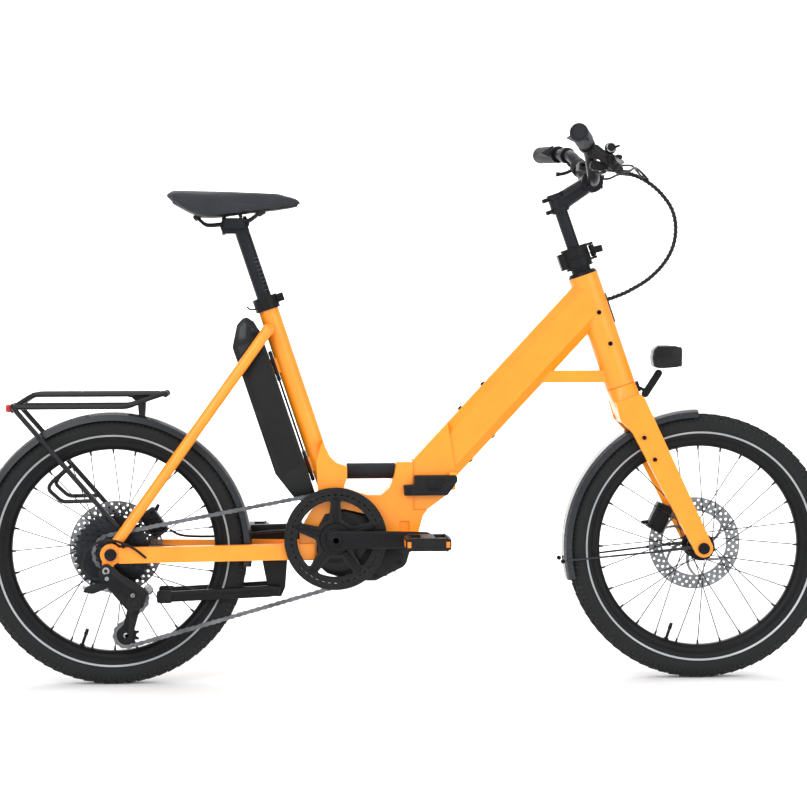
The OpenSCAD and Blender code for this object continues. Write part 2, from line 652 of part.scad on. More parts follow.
module cage_plate(y0, y1) {
  disc(guide_at, 15, y0, y1);
  disc(tension_at, 13, y0, y1);
  slab(y0, y1) polygon([guide_at - [11, 0], guide_at + [11, 0], tension_at + [10, 0], tension_at - [10, 0]]);
}
module derailleur_cage() on_floor() color(black) {
  cage_plate(chain_y + cage_gap, chain_y + cage_gap + plate_t);
  cage_plate(chain_y - cage_gap - plate_t, chain_y - cage_gap);
  for (p = [guide_at, tension_at]) disc(p, 3, chain_y - cage_gap - 0.8, chain_y + cage_gap + 0.8);
  disc(guide_at, 4, chain_y - cage_gap - plate_t - 14, chain_y - cage_gap - 0.4);
}
module guide_pulley() on_floor() color(black) pulley(guide_at);
module tension_pulley() on_floor() color(black) pulley(tension_at);

// ---- Front frame ----
beam_lean = 47;
beam_mid = [602, 396];
beam_start = -10;
beam_end = 530;
beam_chamfer = 17;
beam_drop = 8;
module beam_section() polygon([for (q = [[-1, -1, 1, 0], [-1, -1, 0, 1], [-1, 1, 0, -1], [-1, 1, 1, 0],
  [1, 1, -1, 0], [1, 1, 0, -1], [1, -1, 0, 1], [1, -1, -1, 0]])
  [q[0] * beam_depth / 2 + q[2] * beam_chamfer, q[1] * beam_w / 2 + q[3] * beam_chamfer]]);
front_block = [[hinge_x + gap, hinge_low + gap], [600, hinge_low + gap], [638, 361], [655, 404], [640, 500],
  [hinge_x + gap, hinge_high + 4]];
boss_pitch = 64;
boss_top = [139, 139 + boss_pitch];
boss_low = [79, 79 + boss_pitch];
boss_r = 2.1;
boss_depth = 12;
// A threaded hole for an accessory, square to the beam's top or underside
module boss_hole(t, s) translate(xz(beam_mid, 0)) rotate([0, 90 - beam_lean, 0]) translate([0, 0, t])
  rotate([0, s * 90, 0]) translate([0, 0, beam_depth / 2 - boss_depth])
  cylinder(h = boss_depth + eps, r = boss_r);
module front_frame() on_floor() color(paint) difference() {
  union() {
    difference() {
      translate(xz(beam_mid, 0)) rotate([0, 90 - beam_lean, 0]) translate([0, 0, beam_start])
        linear_extrude(beam_end - beam_start) beam_section();
      steerwise() translate([-2, -100, -200]) cube([300, 200, 800]);
      steerwise() translate([-200, -100, head_tube_h - beam_drop]) cube([300, 200, 300]);
    }
    difference() {
      slab(-34, 34) polygon(front_block);
      for (k = rear_knuckles) knuckle_room(k);
      for (k = front_knuckles) translate([hinge_x, hinge_y, k[0]])
        cylinder(h = k[1] - k[0], r = knuckle_r);
    }
    for (k = front_knuckles) knuckle(k, 1);
    steerwise() translate([0, 0, 0.8]) cylinder(h = head_tube_h - 0.8, r = head_tube_r);
    slab(-16, 16) polygon([[812, 575], [960, 575], [955, 598], [838, 598]]);
    latch_post();
  }
  for (t = boss_top) boss_hole(t, -1);
  for (t = boss_low) boss_hole(t, 1);
  translate([hinge_x - 100, -60, 300]) cube([100 + gap, 95, 300]);
  steerwise() translate([0, 0, -eps]) cylinder(h = head_tube_h + 2 * eps, r = 22);
}
module headset() on_floor() color(black) steerwise() difference() {
  union() {
    translate([0, 0, 0.8]) cylinder(h = 14, r = 21.98);
    translate([0, 0, head_tube_h - 14]) cylinder(h = 14, r = 21.98);
    translate([0, 0, head_tube_h]) cylinder(h = 7, r1 = 29, r2 = 25);
  }
  translate([0, 0, -eps]) cylinder(h = head_tube_h + 20, r = steerer_r + running);
  translate([0, 0, 14.8]) cylinder(h = head_tube_h - 28.8, r = 30);
}
// ---- Frame latch ----
latch_y = -casting_w / 2 - gap;
latch_t = 14;
latch_pivot = [650, latch_y - 6.5];
latch_top = 400;
post_r_latch = 4;
latch_side = [[556, latch_top], [658, latch_top], [658, 388], [638, 361], [556, 361]];
module latch_post() {
  translate([latch_pivot[0], latch_pivot[1], latch_top - 28]) cylinder(h = 34, r = post_r_latch);
  translate([latch_pivot[0] - 8, latch_pivot[1] - 7, latch_top + gap]) cube([16, 20, 6]);
}
module frame_latch() on_floor() color(black) difference() {
  slab(latch_y - latch_t, latch_y) polygon(latch_side);
  translate([latch_pivot[0], latch_pivot[1], 300]) cylinder(h = 200, r = post_r_latch + running);
}
// ---- Fork ----
steerer_r = 14.3;
steerer_top = 262;
crown_h = 66;
leg_y_top = 46;
leg_y_low = front_hub_w / 2 + leg_t / 2;
leg_splay = atan((leg_y_low - leg_y_top) / (-axle_local[1] - crown_h));
module fork_leg() steerwise() translate([0, leg_y_low, axle_local[1]]) rotate([leg_splay, 0, 0])
  slab(-leg_t / 2, leg_t / 2) translate([axle_local[0], 0]) {
    circle(r = fork_end_r);
    polygon([[-fork_end_r, 0], [fork_end_r, 0], [-axle_local[0] + 30, -axle_local[1] - 34],
      [-axle_local[0] + 24, -axle_local[1] - 24], [-axle_local[0] - 26, -axle_local[1] - 24],
      [-axle_local[0] - 28, -axle_local[1] - 60], [-axle_local[0] - 14, -axle_local[1] - 90]]);
  }
module fork() on_floor() color(paint) difference() {
  union() {
    both_sides() fork_leg();
    steerwise() {
      hull() {
        translate([0, 0, -2]) cylinder(h = 2, r = 28.5, $fn = 32);
        translate([0, 0, -crown_h]) linear_extrude(4) square([50, 2 * leg_y_top + leg_t], center = true);
      }
      translate([0, 0, -2]) cylinder(h = steerer_top + 2, r = steerer_r);
    }
  }
  steerwise() translate([0, 0, 4]) cylinder(h = steerer_top, r = mast_r + running);
  disc(front_axle_at, axle_r, -100, 100);
  both_sides() disc(front_axle_at, 40, front_hub_w / 2 - 30, front_hub_w / 2);
  upright(front_axle_at) rotate_extrude() translate([0, -33]) square([fender_r + 2, 66]);
}
// ---- Headlamp ----
lamp_at = [1066, 624];
lamp_pivot = [1052, 592];
module lamp_bracket() on_floor() color(black) {
  slab(-3, 3) translate([1026, 552]) wheel_bar([0, 0], lamp_pivot - [1026, 552], 7, 7);
  disc(lamp_pivot, 3, -9, 9);
  steerwise() translate([28.9, -8, -22]) cube([5, 16, 20]);
  slab(-3, 3) polygon([[1013, 568], [1018, 560], [1030, 546], [1034, 558], [1026, 562]]);
}
module headlamp() on_floor() color(black) difference() {
  union() {
    translate([lamp_at[0] - 28, 0, lamp_at[1]]) rotate([0, 90, 0]) cylinder(h = 56, r = 21.5);
    for (s = [-1, 1]) slab(s * 6 - 2, s * 6 + 2)
      polygon([[1046, 606], [1062, 606], [1058, 586], [1046, 586]]);
  }
  disc(lamp_pivot, 3 + running, -20, 20);
  slab(-3.8, 3.8) translate(lamp_pivot) circle(r = 8);
}
// ---- Stem ----
mast_low = 110;
mast_high = 388;
lever_x = 33;
module stem_clamp() on_floor() color(black) steerwise() difference() {
  union() {
    translate([0, 0, 241]) cylinder(h = 42, r = 26);
    translate([-36, -12, 246]) cube([20, 24, 32]);
    translate([0, 0, head_tube_h + 7.3]) cylinder(h = 8, r = 19);
    for (z = [249, 277.3]) translate([20, -5, z]) cube([18, 10, 4.7]);
    translate([lever_x, 0, 249]) cylinder(h = 33, r = 2.5);
  }
  translate([0, 0, 200]) cylinder(h = steerer_top - 200, r = steerer_r + 0.02);
  translate([0, 0, 240]) cylinder(h = 60, r = mast_r + gap);
}
module stem_lever() on_floor() color(black) steerwise() difference() {
  union() {
    translate([lever_x, -6, 261]) cube([28, 12, 8]);
    translate([lever_x, 0, 254]) cylinder(h = 23, r = 5);
  }
  translate([lever_x, 0, 240]) cylinder(h = 60, r = 2.5 + running);
}
module stem_mast() on_floor() color(dark) steerwise() difference() {
  translate([0, 0, mast_low]) cylinder(h = mast_high - mast_low, r = mast_r);
  translate([0, 0, mast_low - eps]) cylinder(h = mast_high - mast_low - 8, r = mast_r - 2.2);
}
bar_at = [73, 390];
arm_from = [0, 372];
arm_r = 15.5;
collar_low = 354;
collar_h = 38;
collar_r = 17.5;
ear_size = [14, 16, 8];
// The handlebar's left half, as [x, y, z] from its clamp
bar_route = [[0, 0, 0], [0, 38, 0], [-10, 84, 32], [-22, 120, 58], [-38, 190, 66], [-63, bar_w / 2, 72]];
bar_centre = steer_point(bar_at[0], bar_at[1]);
function bar_point(p) = [bar_centre[0] + p[0], p[1], bar_centre[1] + p[2]];
half_bar = [for (p = bar_route) bar_point(p)];
whole_bar = concat([for (i = [5 : -1 : 1]) [half_bar[i][0], -half_bar[i][1], half_bar[i][2]]], half_bar);
module handlebar() on_floor() color(dark) {
  swept(bent(whole_bar, 16, 3), bar_r, 14);
  difference() {
    union() {
      disc(bar_centre, 21, -24, 24);
      steerwise() {
        translate([0, 0, collar_low]) cylinder(h = collar_h, r = collar_r);
        rod([0, 0, arm_from[1]], [bar_at[0], 0, bar_at[1]], arm_r);
        for (z = [7, 31]) translate([-26, -8, collar_low + z - 4]) cube(ear_size);
      }
    }
    steerwise() translate([0, 0, collar_low - 5]) cylinder(h = collar_h + 20, r = mast_r + running);
    disc(bar_centre, bar_r + 0.02, -40, 40);
  }
}
grip_a = half_bar[4] + 0.04 * (half_bar[5] - half_bar[4]);
grip_b = half_bar[5];
module grips() on_floor() color(black) both_sides() difference() {
  union() {
    rod(grip_a, grip_b, grip_r);
    slab(200, bar_w / 2 - 4) polygon([[846, 1030], [870, 1046], [876, 1016]]);
  }
  rod(grip_a - 4 * unit(grip_b - grip_a), grip_b + unit(grip_b - grip_a), bar_r + gap);
}
lever_y = 172;
lever_pivot = [944, 993];
module master() {
  a = half_bar[3];
  b = half_bar[4];
  u = unit(b - a);
  difference() {
    union() {
      rod(a + 22 * u, a + 38 * u, 16);
      hull() {
        translate([900, lever_y - 27, 1007]) sphere(r = 9, $fn = 24);
        translate([938, lever_y - 34, 998]) sphere(r = 9, $fn = 24);
      }
      translate([lever_pivot[0] - 12, lever_y - 26, lever_pivot[1] - 9]) cube([20, 12, 18]);
      translate([lever_pivot[0] - 16, lever_y - 40, lever_pivot[1] - 9]) cube([12, 20, 18]);
    }
    rod(a - 10 * u, b + 10 * u, bar_r + gap);
  }
}
module controls() on_floor() color(black) {
  both_sides() master();
  translate([bar_centre[0] - 26, -24, bar_centre[1] + 23]) cube([42, 48, 12]);
  translate([bar_centre[0] - 8, -8, bar_centre[1] + 21.3]) cube([10, 16, 3]);
  translate(shifter_at - [12, 16, 0]) cube([28, 28, 16]);
}
// The lever turns about a line square to the reach of the fingers.
lever_hub = [lever_pivot[0], lever_y - 14 + gap + 6, lever_pivot[1]];
lever_axis = [0.6, 0, 0.8];
module lever_blade() {
  knee = [lever_pivot[0] + 6, lever_y + 10, lever_pivot[1] - 5];
  rod(lever_hub - 6 * lever_axis, lever_hub + 6 * lever_axis, 6);
  rod(lever_hub, knee, 5);
  translate(knee) sphere(r = 5.6);
  rod(knee, [lever_pivot[0] - 10, lever_y + 96, lever_pivot[1] - 2], 5);
}
module brake_lever_left() on_floor() color(black) lever_blade();
module brake_lever_right() on_floor() color(black) mirror([0, 1, 0]) lever_blade();
shifter_at = [918, -119, 976];
module shift_lever() on_floor() color(black) translate(shifter_at) {
  translate([0, 0, -8]) cylinder(h = 8 - gap, r = 6);
  translate([-2, -30, -7]) cube([12, 32, 5]);
}

// ---- Cables ----
loop_route = [[942, 124.5, 994], [960, 90, 991], [986, 45, 984], [1018, 14, 970], [1050, 4, 946],
  [1076, 2, 912], [1085, 1, 876], [1080, 0, 838], [1062, 0, 804], [1032, 0, 774], [994, 0, 751],
  [968, 0, 740], [951.7, 0, 734.4]];
module control_cables() on_floor() color(black)
  swept(curve(loop_route, 4), 4.5, 8);
hose_route = [[354, 30, 290], [300, 40, 286], [250, 50, 280], [190, 56, 276], [130, 58, 278],
  [103.7, 56, 289.6]];
shift_loop = [[66, -82, 250], [42, -90, 270], [10, -97, 284], [-20, -98, 283], [-44, -97, 264],
  [-50, -96, 238], [-40, -94, 218], [-19.2, -93, 212]];
module rear_cables() on_floor() color(black) {
  swept(curve(hose_route, 3), 2.5, 8);
  swept(curve(shift_loop, 4), 2.2, 8);
}

rear_frame();
seat_stays();
chain_stays();
handle_grip();
motor();
seat_clamp();
kickstand_bracket();
rear_fender();
luggage_rack();
tail_light();
rear_caliper();
rear_axle();
derailleur();
chain();
rear_cables();
hinge_pin();
battery();
seat_post();
saddle_rails();
saddle_shell();
saddle_pad();
kickstand();
crankset();
chainring();
chain_guard();
pedal_right();
pedal_left();
cassette();
rear_tyre();
rear_rim();
rear_spokes();
rear_hub();
rear_rotor();
derailleur_cage();
guide_pulley();
tension_pulley();
front_frame();
headset();
frame_latch();
fork();
front_fender();
lamp_bracket();
front_caliper();
front_axle();
stem_clamp();
headlamp();
stem_lever();
front_tyre();
front_rim();
front_spokes();
front_hub();
front_rotor();
stem_mast();
handlebar();
grips();
controls();
brake_lever_right();
brake_lever_left();
shift_lever();
control_cables();
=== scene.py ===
"""Looks of a folding electric bicycle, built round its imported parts.

Shapes are worked out in millimetres from the rear axle: X forward, Y to the
left, away from the drive side, Z up from the floor. Shape.build puts them in
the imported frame, in metres.
"""

import logging
import math
from dataclasses import dataclass, field
from enum import Enum

import bmesh
import bpy
from mathutils import Matrix, Vector


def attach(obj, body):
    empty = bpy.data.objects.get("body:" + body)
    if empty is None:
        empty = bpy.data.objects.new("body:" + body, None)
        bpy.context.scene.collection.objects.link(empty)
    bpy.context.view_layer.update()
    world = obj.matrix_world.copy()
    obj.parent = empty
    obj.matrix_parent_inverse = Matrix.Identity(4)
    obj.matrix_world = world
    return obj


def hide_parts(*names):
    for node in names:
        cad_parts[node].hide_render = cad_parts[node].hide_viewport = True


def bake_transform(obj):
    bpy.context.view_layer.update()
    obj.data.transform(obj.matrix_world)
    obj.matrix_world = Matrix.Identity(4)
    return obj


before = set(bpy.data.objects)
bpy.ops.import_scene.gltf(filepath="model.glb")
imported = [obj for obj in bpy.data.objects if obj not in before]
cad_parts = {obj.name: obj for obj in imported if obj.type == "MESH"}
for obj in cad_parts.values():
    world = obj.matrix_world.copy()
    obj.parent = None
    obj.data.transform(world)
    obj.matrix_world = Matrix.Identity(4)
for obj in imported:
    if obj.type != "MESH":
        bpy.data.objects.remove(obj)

log = logging.getLogger("bicycle")

MM = 0.001
ORIGIN_X = 561.0
WHEELBASE = 1130.0
AXLE_Z = 257.0
REAR_AXLE = (0.0, AXLE_Z)
FRONT_AXLE = (WHEELBASE, AXLE_Z)
CRANK = (424.0, 281.0)
CHAIN_Y = -52.0
GUARD_FACE = -61.7
PEDAL_Y = 140.0
BEAM_MID = Vector((602.0, 0.0, 396.0))
BEAM_HALF = 41.4
STEER_LEAN = 19.0
SEAT_LEAN = 18.4
CROWN = Vector((978.0, 0.0, 568.0))
SEAT_TOP = Vector((294.0, 0.0, 730.0))
PLACE = Matrix.Translation((-ORIGIN_X * MM, 0, 0)) @ Matrix.Scale(MM, 4)

Flat = tuple[float, float]
Point = tuple[float, float, float]


def leaning(origin: Vector, lean: float) -> Matrix:
    """Frame whose Z runs up a tube that leans back.

    Args:
        origin: where the frame starts.
        lean: degrees back from upright.

    Returns:
        The matrix from the tube's frame to the bicycle's.
    """
    return Matrix.Translation(origin) @ Matrix.Rotation(math.radians(-lean), 4, "Y")


# Shared by all finishes: size of the broad mottle, its reach in roughness, and how much lighter a rounded
# edge is painted, a painted highlight that also stands for worn edges.
MOTTLE_PER_M = 18.0
ROUGH_LOW, ROUGH_HIGH = 0.85, 1.12
COAT_ROUGHNESS = 0.08
EDGE_HIGHLIGHT = 0.14

STEER = leaning(CROWN, STEER_LEAN)
SEAT = leaning(SEAT_TOP, SEAT_LEAN)


def srgb(code: str) -> tuple[float, float, float, float]:
    """Turns a hex sRGB colour to linear RGBA.

    Args:
        code: the colour, such as "#FFA62E".

    Returns:
        Red, green, blue and alpha.
    """
    parts = [int(code[i : i + 2], 16) / 255 for i in (1, 3, 5)]
    line = [p / 12.92 if p <= 0.04045 else ((p + 0.055) / 1.055) ** 2.4 for p in parts]
    return (*line, 1.0)


def add_node(
    tree: bpy.types.NodeTree, kind: str, settings: dict | None = None, **inputs: object
) -> bpy.types.Node:
    """Adds a node with its settings and links.

    Args:
        tree: the material's node tree.
        kind: the node's type.
        settings: its own properties.
        **inputs: sockets by name, or by number as i0, i1. A socket is linked, a value is set.

    Returns:
        The new node.
    """
    made = tree.nodes.new(kind)
    for name, value in (settings or {}).items():
        setattr(made, name, value)
    for name, value in inputs.items():
        number = name[1:].isdigit() and name[0] == "i"
        socket = made.inputs[int(name[1:]) if number else name.replace("_", " ")]
        if isinstance(value, bpy.types.NodeSocket):
            tree.links.new(value, socket)
        else:
            socket.default_value = value
    return made


class Surface(Enum):
    """How a surface was made, which gives its fine pattern."""

    SPRAYED = "an even skin with a slight orange peel"
    MOULDED = "spark-eroded grain off the mould"
    TURNED = "fine rings from the lathe"
    DRAWN = "fine lines along the part"
    EMBOSSED = "small pebbles pressed in"
    FLECKED = "hard flecks in a soft ground"


@dataclass(frozen=True)
class Finish:
    """One real finish.

    name: its common name. colour and tint: hex colours that it varies between.
    grain_mm and relief_mm: size and height of the fine pattern. edge_mm: radius
    of the softened edges. edge_highlight_and_wear: how much rounded edges are painted lighter, a painted
    highlight that also stands for worn edges. shine: specular level.
    """

    name: str
    colour: str
    tint: str
    roughness: float
    surface: Surface = Surface.MOULDED
    metallic: float = 0.0
    ior: float = 1.5
    grain_mm: float = 1.2
    relief_mm: float = 0.03
    edge_mm: float = 0.5
    # Painted highlight: how much lighter rounded edges are painted, also standing for worn edges.
    edge_highlight_and_wear: float = 0.15
    coat: float = 0.0
    sheen: float = 0.0
    clear: float = 0.0
    shine: float = 0.25
    centre: Flat = (0.0, 0.0)

    def material(self) -> bpy.types.Material:
        """Builds the material once, and returns it."""
        made = bpy.data.materials.get(self.name)
        if made:
            return made
        made = bpy.data.materials.new(self.name)
        made.use_nodes = True
        tree = made.node_tree
        shader = tree.nodes["Principled BSDF"]
        where = add_node(tree, "ShaderNodeTexCoord").outputs["Object"]
        fine = self._fine(tree, where)
        broad = add_node(
            tree, "ShaderNodeTexNoise", Vector=where, Scale=MOTTLE_PER_M, Detail=3.0, Roughness=0.6,
        )
        share = add_node(tree, "ShaderNodeMapRange", Value=broad.outputs["Fac"], From_Min=0.35, From_Max=0.65)
        colour = self._mix(tree, share.outputs["Result"], srgb(self.colour), srgb(self.tint))
        soft = add_node(tree, "ShaderNodeBevel", {"samples": 4}, Radius=self.edge_mm * MM)
        # Painted highlight on rounded edges, also standing for worn edges.
        colour = self._paint_edge_highlight_and_wear(tree, colour, soft.outputs["Normal"])
        tree.links.new(colour, shader.inputs["Base Color"])
        rough = add_node(
            tree,
            "ShaderNodeMapRange",
            Value=broad.outputs["Fac"],
            From_Min=0.3,
            From_Max=0.7,
            To_Min=self.roughness * ROUGH_LOW,
            To_Max=min(1.0, self.roughness * ROUGH_HIGH),
        )
        tree.links.new(rough.outputs["Result"], shader.inputs["Roughness"])
        bump = add_node(
            tree, "ShaderNodeBump", Height=fine, Distance=self.relief_mm * MM, Strength=1.0,
            Normal=soft.outputs["Normal"]
        )
        tree.links.new(bump.outputs["Normal"], shader.inputs["Normal"])
        shader.inputs["Metallic"].default_value = self.metallic
        shader.inputs["Specular IOR Level"].default_value = self.shine
        shader.inputs["IOR"].default_value = self.ior
        shader.inputs["Coat Weight"].default_value = self.coat
        shader.inputs["Coat Roughness"].default_value = COAT_ROUGHNESS
        shader.inputs["Sheen Weight"].default_value = self.sheen
        shader.inputs["Transmission Weight"].default_value = self.clear
        return made

    def _fine(self, tree: bpy.types.NodeTree, where: bpy.types.NodeSocket) -> bpy.types.NodeSocket:
        """Gives the height of the fine pattern."""
        per_metre = 1.0 / (self.grain_mm * MM)
        if self.surface in (Surface.EMBOSSED, Surface.FLECKED):
            cells = add_node(tree, "ShaderNodeTexVoronoi", Vector=where, Scale=per_metre)
            return cells.outputs["Distance"]
        if self.surface is Surface.DRAWN:
            place = add_node(tree, "ShaderNodeMapping", Vector=where, Scale=(0.04, 1.0, 1.0))
            where = place.outputs["Vector"]
        if self.surface is Surface.TURNED:
            shift = (ORIGIN_X * MM - self.centre[0] * MM, 0.0, -self.centre[1] * MM)
            place = add_node(tree, "ShaderNodeMapping", Vector=where, Location=shift, Scale=(1.0, 0.0, 1.0))
            reach = add_node(
                tree, "ShaderNodeVectorMath", {"operation": "LENGTH"}, i0=place.outputs["Vector"],
            )
            where = add_node(tree, "ShaderNodeCombineXYZ", X=reach.outputs["Value"]).outputs["Vector"]
        noise = add_node(tree, "ShaderNodeTexNoise", Vector=where, Scale=per_metre, Detail=2.0)
        return noise.outputs["Fac"]

    def _mix(self, tree: bpy.types.NodeTree, share: object, a: object, b: object) -> bpy.types.NodeSocket:
        """Mixes two colours."""
        mix = add_node(tree, "ShaderNodeMix", {"data_type": "RGBA"}, i0=share, i6=a, i7=b)
        return mix.outputs[2]

    def _paint_edge_highlight_and_wear(self, tree: bpy.types.NodeTree, colour: object, soft: object) -> bpy.types.NodeSocket:
        """Paints a lighter colour where an edge is rounded: a painted highlight that also stands for worn
        edges.
        """
        true = add_node(tree, "ShaderNodeNewGeometry").outputs["Normal"]
        turn = add_node(tree, "ShaderNodeVectorMath", {"operation": "DOT_PRODUCT"}, i0=true, i1=soft)
        share = add_node(
            tree,
            "ShaderNodeMapRange",
            Value=turn.outputs["Value"],
            From_Min=0.97,
            From_Max=0.8,
            To_Max=self.edge_highlight_and_wear,
        )
        # The painted highlight colour: the base colour lifted towards white.
        light = [c + (1 - c) * EDGE_HIGHLIGHT for c in srgb(self.colour)[:3]] + [1.0]
        return self._mix(tree, share.outputs["Result"], colour, tuple(light))


# Powder-coated aluminium: a warm, even satin skin with a faint orange peel.
PAINT = Finish(
    "powder_coated_aluminium", "#FF9A1E", "#FF9319", 0.34, Surface.SPRAYED, grain_mm=2.4, relief_mm=0.012,
    edge_mm=1.6, edge_highlight_and_wear=0.12, coat=0.2, shine=0.5,
)
# Black anodised aluminium: dark graphite with a soft metal sheen.
GRAPHITE = Finish(
    "anodised_aluminium_graphite", "#1C1D21", "#232429", 0.34, Surface.DRAWN, metallic=0.5, grain_mm=0.6,
    relief_mm=0.01, edge_mm=0.7, edge_highlight_and_wear=0.3,
)
# Black anodised, bead-blasted: nearly matt.
BLACK_METAL = Finish(
    "blasted_aluminium_black", "#0F1012", "#151618", 0.4, Surface.MOULDED, metallic=0.3, grain_mm=0.7,
    relief_mm=0.02, edge_mm=0.8, edge_highlight_and_wear=0.25,
)
# Glass-filled nylon: deep black with a fine grain.
NYLON = Finish(
    "glass_filled_nylon", "#0D0E10", "#131416", 0.5, Surface.MOULDED, grain_mm=1.0, relief_mm=0.04,
    edge_mm=0.8, edge_highlight_and_wear=0.18,
)
# ABS housing: smoother, its rounded edges painted a little lighter as a highlight.
ABS = Finish(
    "moulded_abs_black", "#0B0C0E", "#101113", 0.32, Surface.MOULDED, grain_mm=1.4, relief_mm=0.015,
    edge_mm=1.2, edge_highlight_and_wear=0.25, coat=0.08,
)
# Second ABS, polished, its colour painted lighter where the panel catches the light: real gloss and a painted
# highlight.
ABS_GLOSS_WITH_PAINTED_HIGHLIGHT = Finish(
    "polished_abs_painted_highlight", "#121417", "#17191D", 0.2, Surface.SPRAYED, grain_mm=3.0, relief_mm=0.008,
    edge_mm=1.0, edge_highlight_and_wear=0.3, coat=0.3,
)
# Vulcanised rubber: dull black, greyer where it is scuffed.
RUBBER = Finish(
    "vulcanised_rubber", "#191A1B", "#202122", 0.78, Surface.FLECKED, grain_mm=1.6, relief_mm=0.06,
    edge_mm=0.5, edge_highlight_and_wear=0.2,
)
# Tread rubber: dusty grey from the road.
TREAD = Finish(
    "tread_rubber", "#252627", "#2E2F30", 0.86, Surface.FLECKED, grain_mm=1.2, relief_mm=0.08, edge_mm=0.4,
    edge_highlight_and_wear=0.25,
)
# Thermoplastic grip rubber: soft and dry.
GRIP = Finish(
    "thermoplastic_grip", "#1A1C20", "#24272C", 0.66, Surface.EMBOSSED, grain_mm=1.1, relief_mm=0.1,
    edge_mm=0.4, edge_highlight_and_wear=0.1,
)
# Retroreflective tape: pale grey glass beads.
REFLEX = Finish(
    "retroreflective_tape", "#A9ADB0", "#B8BBBE", 0.35, Surface.FLECKED, metallic=0.3, grain_mm=0.7,
    relief_mm=0.02, edge_highlight_and_wear=0.0,
)
# Synthetic leather: dark slate, matt, with a small pebble.
LEATHER = Finish(
    "synthetic_leather", "#23262B", "#2A2D33", 0.56, Surface.EMBOSSED, grain_mm=1.3, relief_mm=0.07,
    edge_mm=0.6, edge_highlight_and_wear=0.05, sheen=0.08,
)
# Sewing thread of polyester.
THREAD = Finish(
    "polyester_thread", "#3C4046", "#4A4E55", 0.7, Surface.DRAWN, grain_mm=0.4, relief_mm=0.05, edge_highlight_and_wear=0.0,
)
# Polished steel of the chain.
CHAIN_STEEL = Finish(
    "nickel_plated_steel", "#7D7F82", "#55575A", 0.34, Surface.DRAWN, metallic=1.0, grain_mm=0.5,
    relief_mm=0.01, edge_mm=0.2,
)
# Hardened steel of sprockets, oiled.
SPROCKET = Finish(
    "hardened_steel_sprocket", "#34363A", "#26282B", 0.36, Surface.TURNED, metallic=1.0, grain_mm=0.6,
    relief_mm=0.02, edge_mm=0.25,
)
ROTOR_REAR = Finish(
    "turned_stainless_rear", "#8F9194", "#77797C", 0.32, Surface.TURNED, metallic=1.0, grain_mm=0.5,
    relief_mm=0.02, edge_mm=0.2,
)
ROTOR_FRONT = Finish(
    "turned_stainless_front", "#8F9194", "#77797C", 0.32, Surface.TURNED, metallic=1.0, grain_mm=0.5,
    relief_mm=0.02, edge_mm=0.2, centre=FRONT_AXLE,
)
# Blackened stainless spokes.
SPOKE = Finish(
    "blackened_stainless", "#2C2D2F", "#3A3B3D", 0.36, Surface.DRAWN, metallic=0.8, grain_mm=0.4,
    relief_mm=0.01, edge_mm=0.2,
)
# Black oxide screws.
SCREW = Finish(
    "black_oxide_steel", "#17181A", "#222326", 0.4, Surface.TURNED, metallic=0.7, grain_mm=0.5,
    relief_mm=0.02, edge_mm=0.3, edge_highlight_and_wear=0.35,
)
# Bare screws and bolts.
BRIGHT = Finish(
    "zinc_plated_steel", "#8D9093", "#A4A7AA", 0.3, Surface.TURNED, metallic=1.0, grain_mm=0.5,
    relief_mm=0.02, edge_mm=0.3,
)
# Polished polycarbonate mudguard: dark grey gloss, its rounded rims painted lighter as a highlight.
GUARD = Finish(
    "polished_polycarbonate", "#212327", "#282B2F", 0.26, Surface.SPRAYED, grain_mm=4.0, relief_mm=0.006,
    edge_mm=0.6, edge_highlight_and_wear=0.3, coat=0.15,
)
# Powder-coated steel tube of the carrier.
TUBE_BLACK = Finish(
    "powder_coated_steel_black", "#0F1013", "#141518", 0.36, Surface.SPRAYED, grain_mm=1.8, relief_mm=0.015,
    edge_mm=0.8, edge_highlight_and_wear=0.2, coat=0.1,
)
# Clear acrylic lens.
LENS = Finish(
    "clear_acrylic_lens", "#E9EEF2", "#DDE4EA", 0.06, Surface.SPRAYED, ior=1.49, grain_mm=5.0, relief_mm=0.01,
    clear=0.85, edge_highlight_and_wear=0.0,
)
# Aluminised reflector bowl.
MIRROR = Finish(
    "aluminised_bowl", "#C9CDD1", "#D5D8DB", 0.12, Surface.TURNED, metallic=1.0, grain_mm=1.0, relief_mm=0.01,
)
# Red acrylic lamp glass.
RED_LENS = Finish(
    "red_acrylic", "#B3130F", "#C71A14", 0.15, Surface.EMBOSSED, grain_mm=2.2, relief_mm=0.15, edge_highlight_and_wear=0.0,
    coat=0.5,
)
# Amber acrylic with moulded prisms.
AMBER = Finish(
    "amber_acrylic", "#F07A12", "#FF8F1F", 0.2, Surface.EMBOSSED, grain_mm=1.8, relief_mm=0.2, edge_highlight_and_wear=0.0,
    coat=0.5,
)
# Hardened glass of the display.
GLASS = Finish(
    "display_glass", "#0B0C0E", "#101114", 0.08, Surface.SPRAYED, grain_mm=6.0, relief_mm=0.004, edge_highlight_and_wear=0.0,
    coat=0.6,
)
# Extruded PVC of cable covers.
PVC = Finish(
    "extruded_pvc_black", "#121314", "#1A1B1C", 0.45, Surface.DRAWN, grain_mm=0.8, relief_mm=0.02,
    edge_mm=0.3, edge_highlight_and_wear=0.1,
)

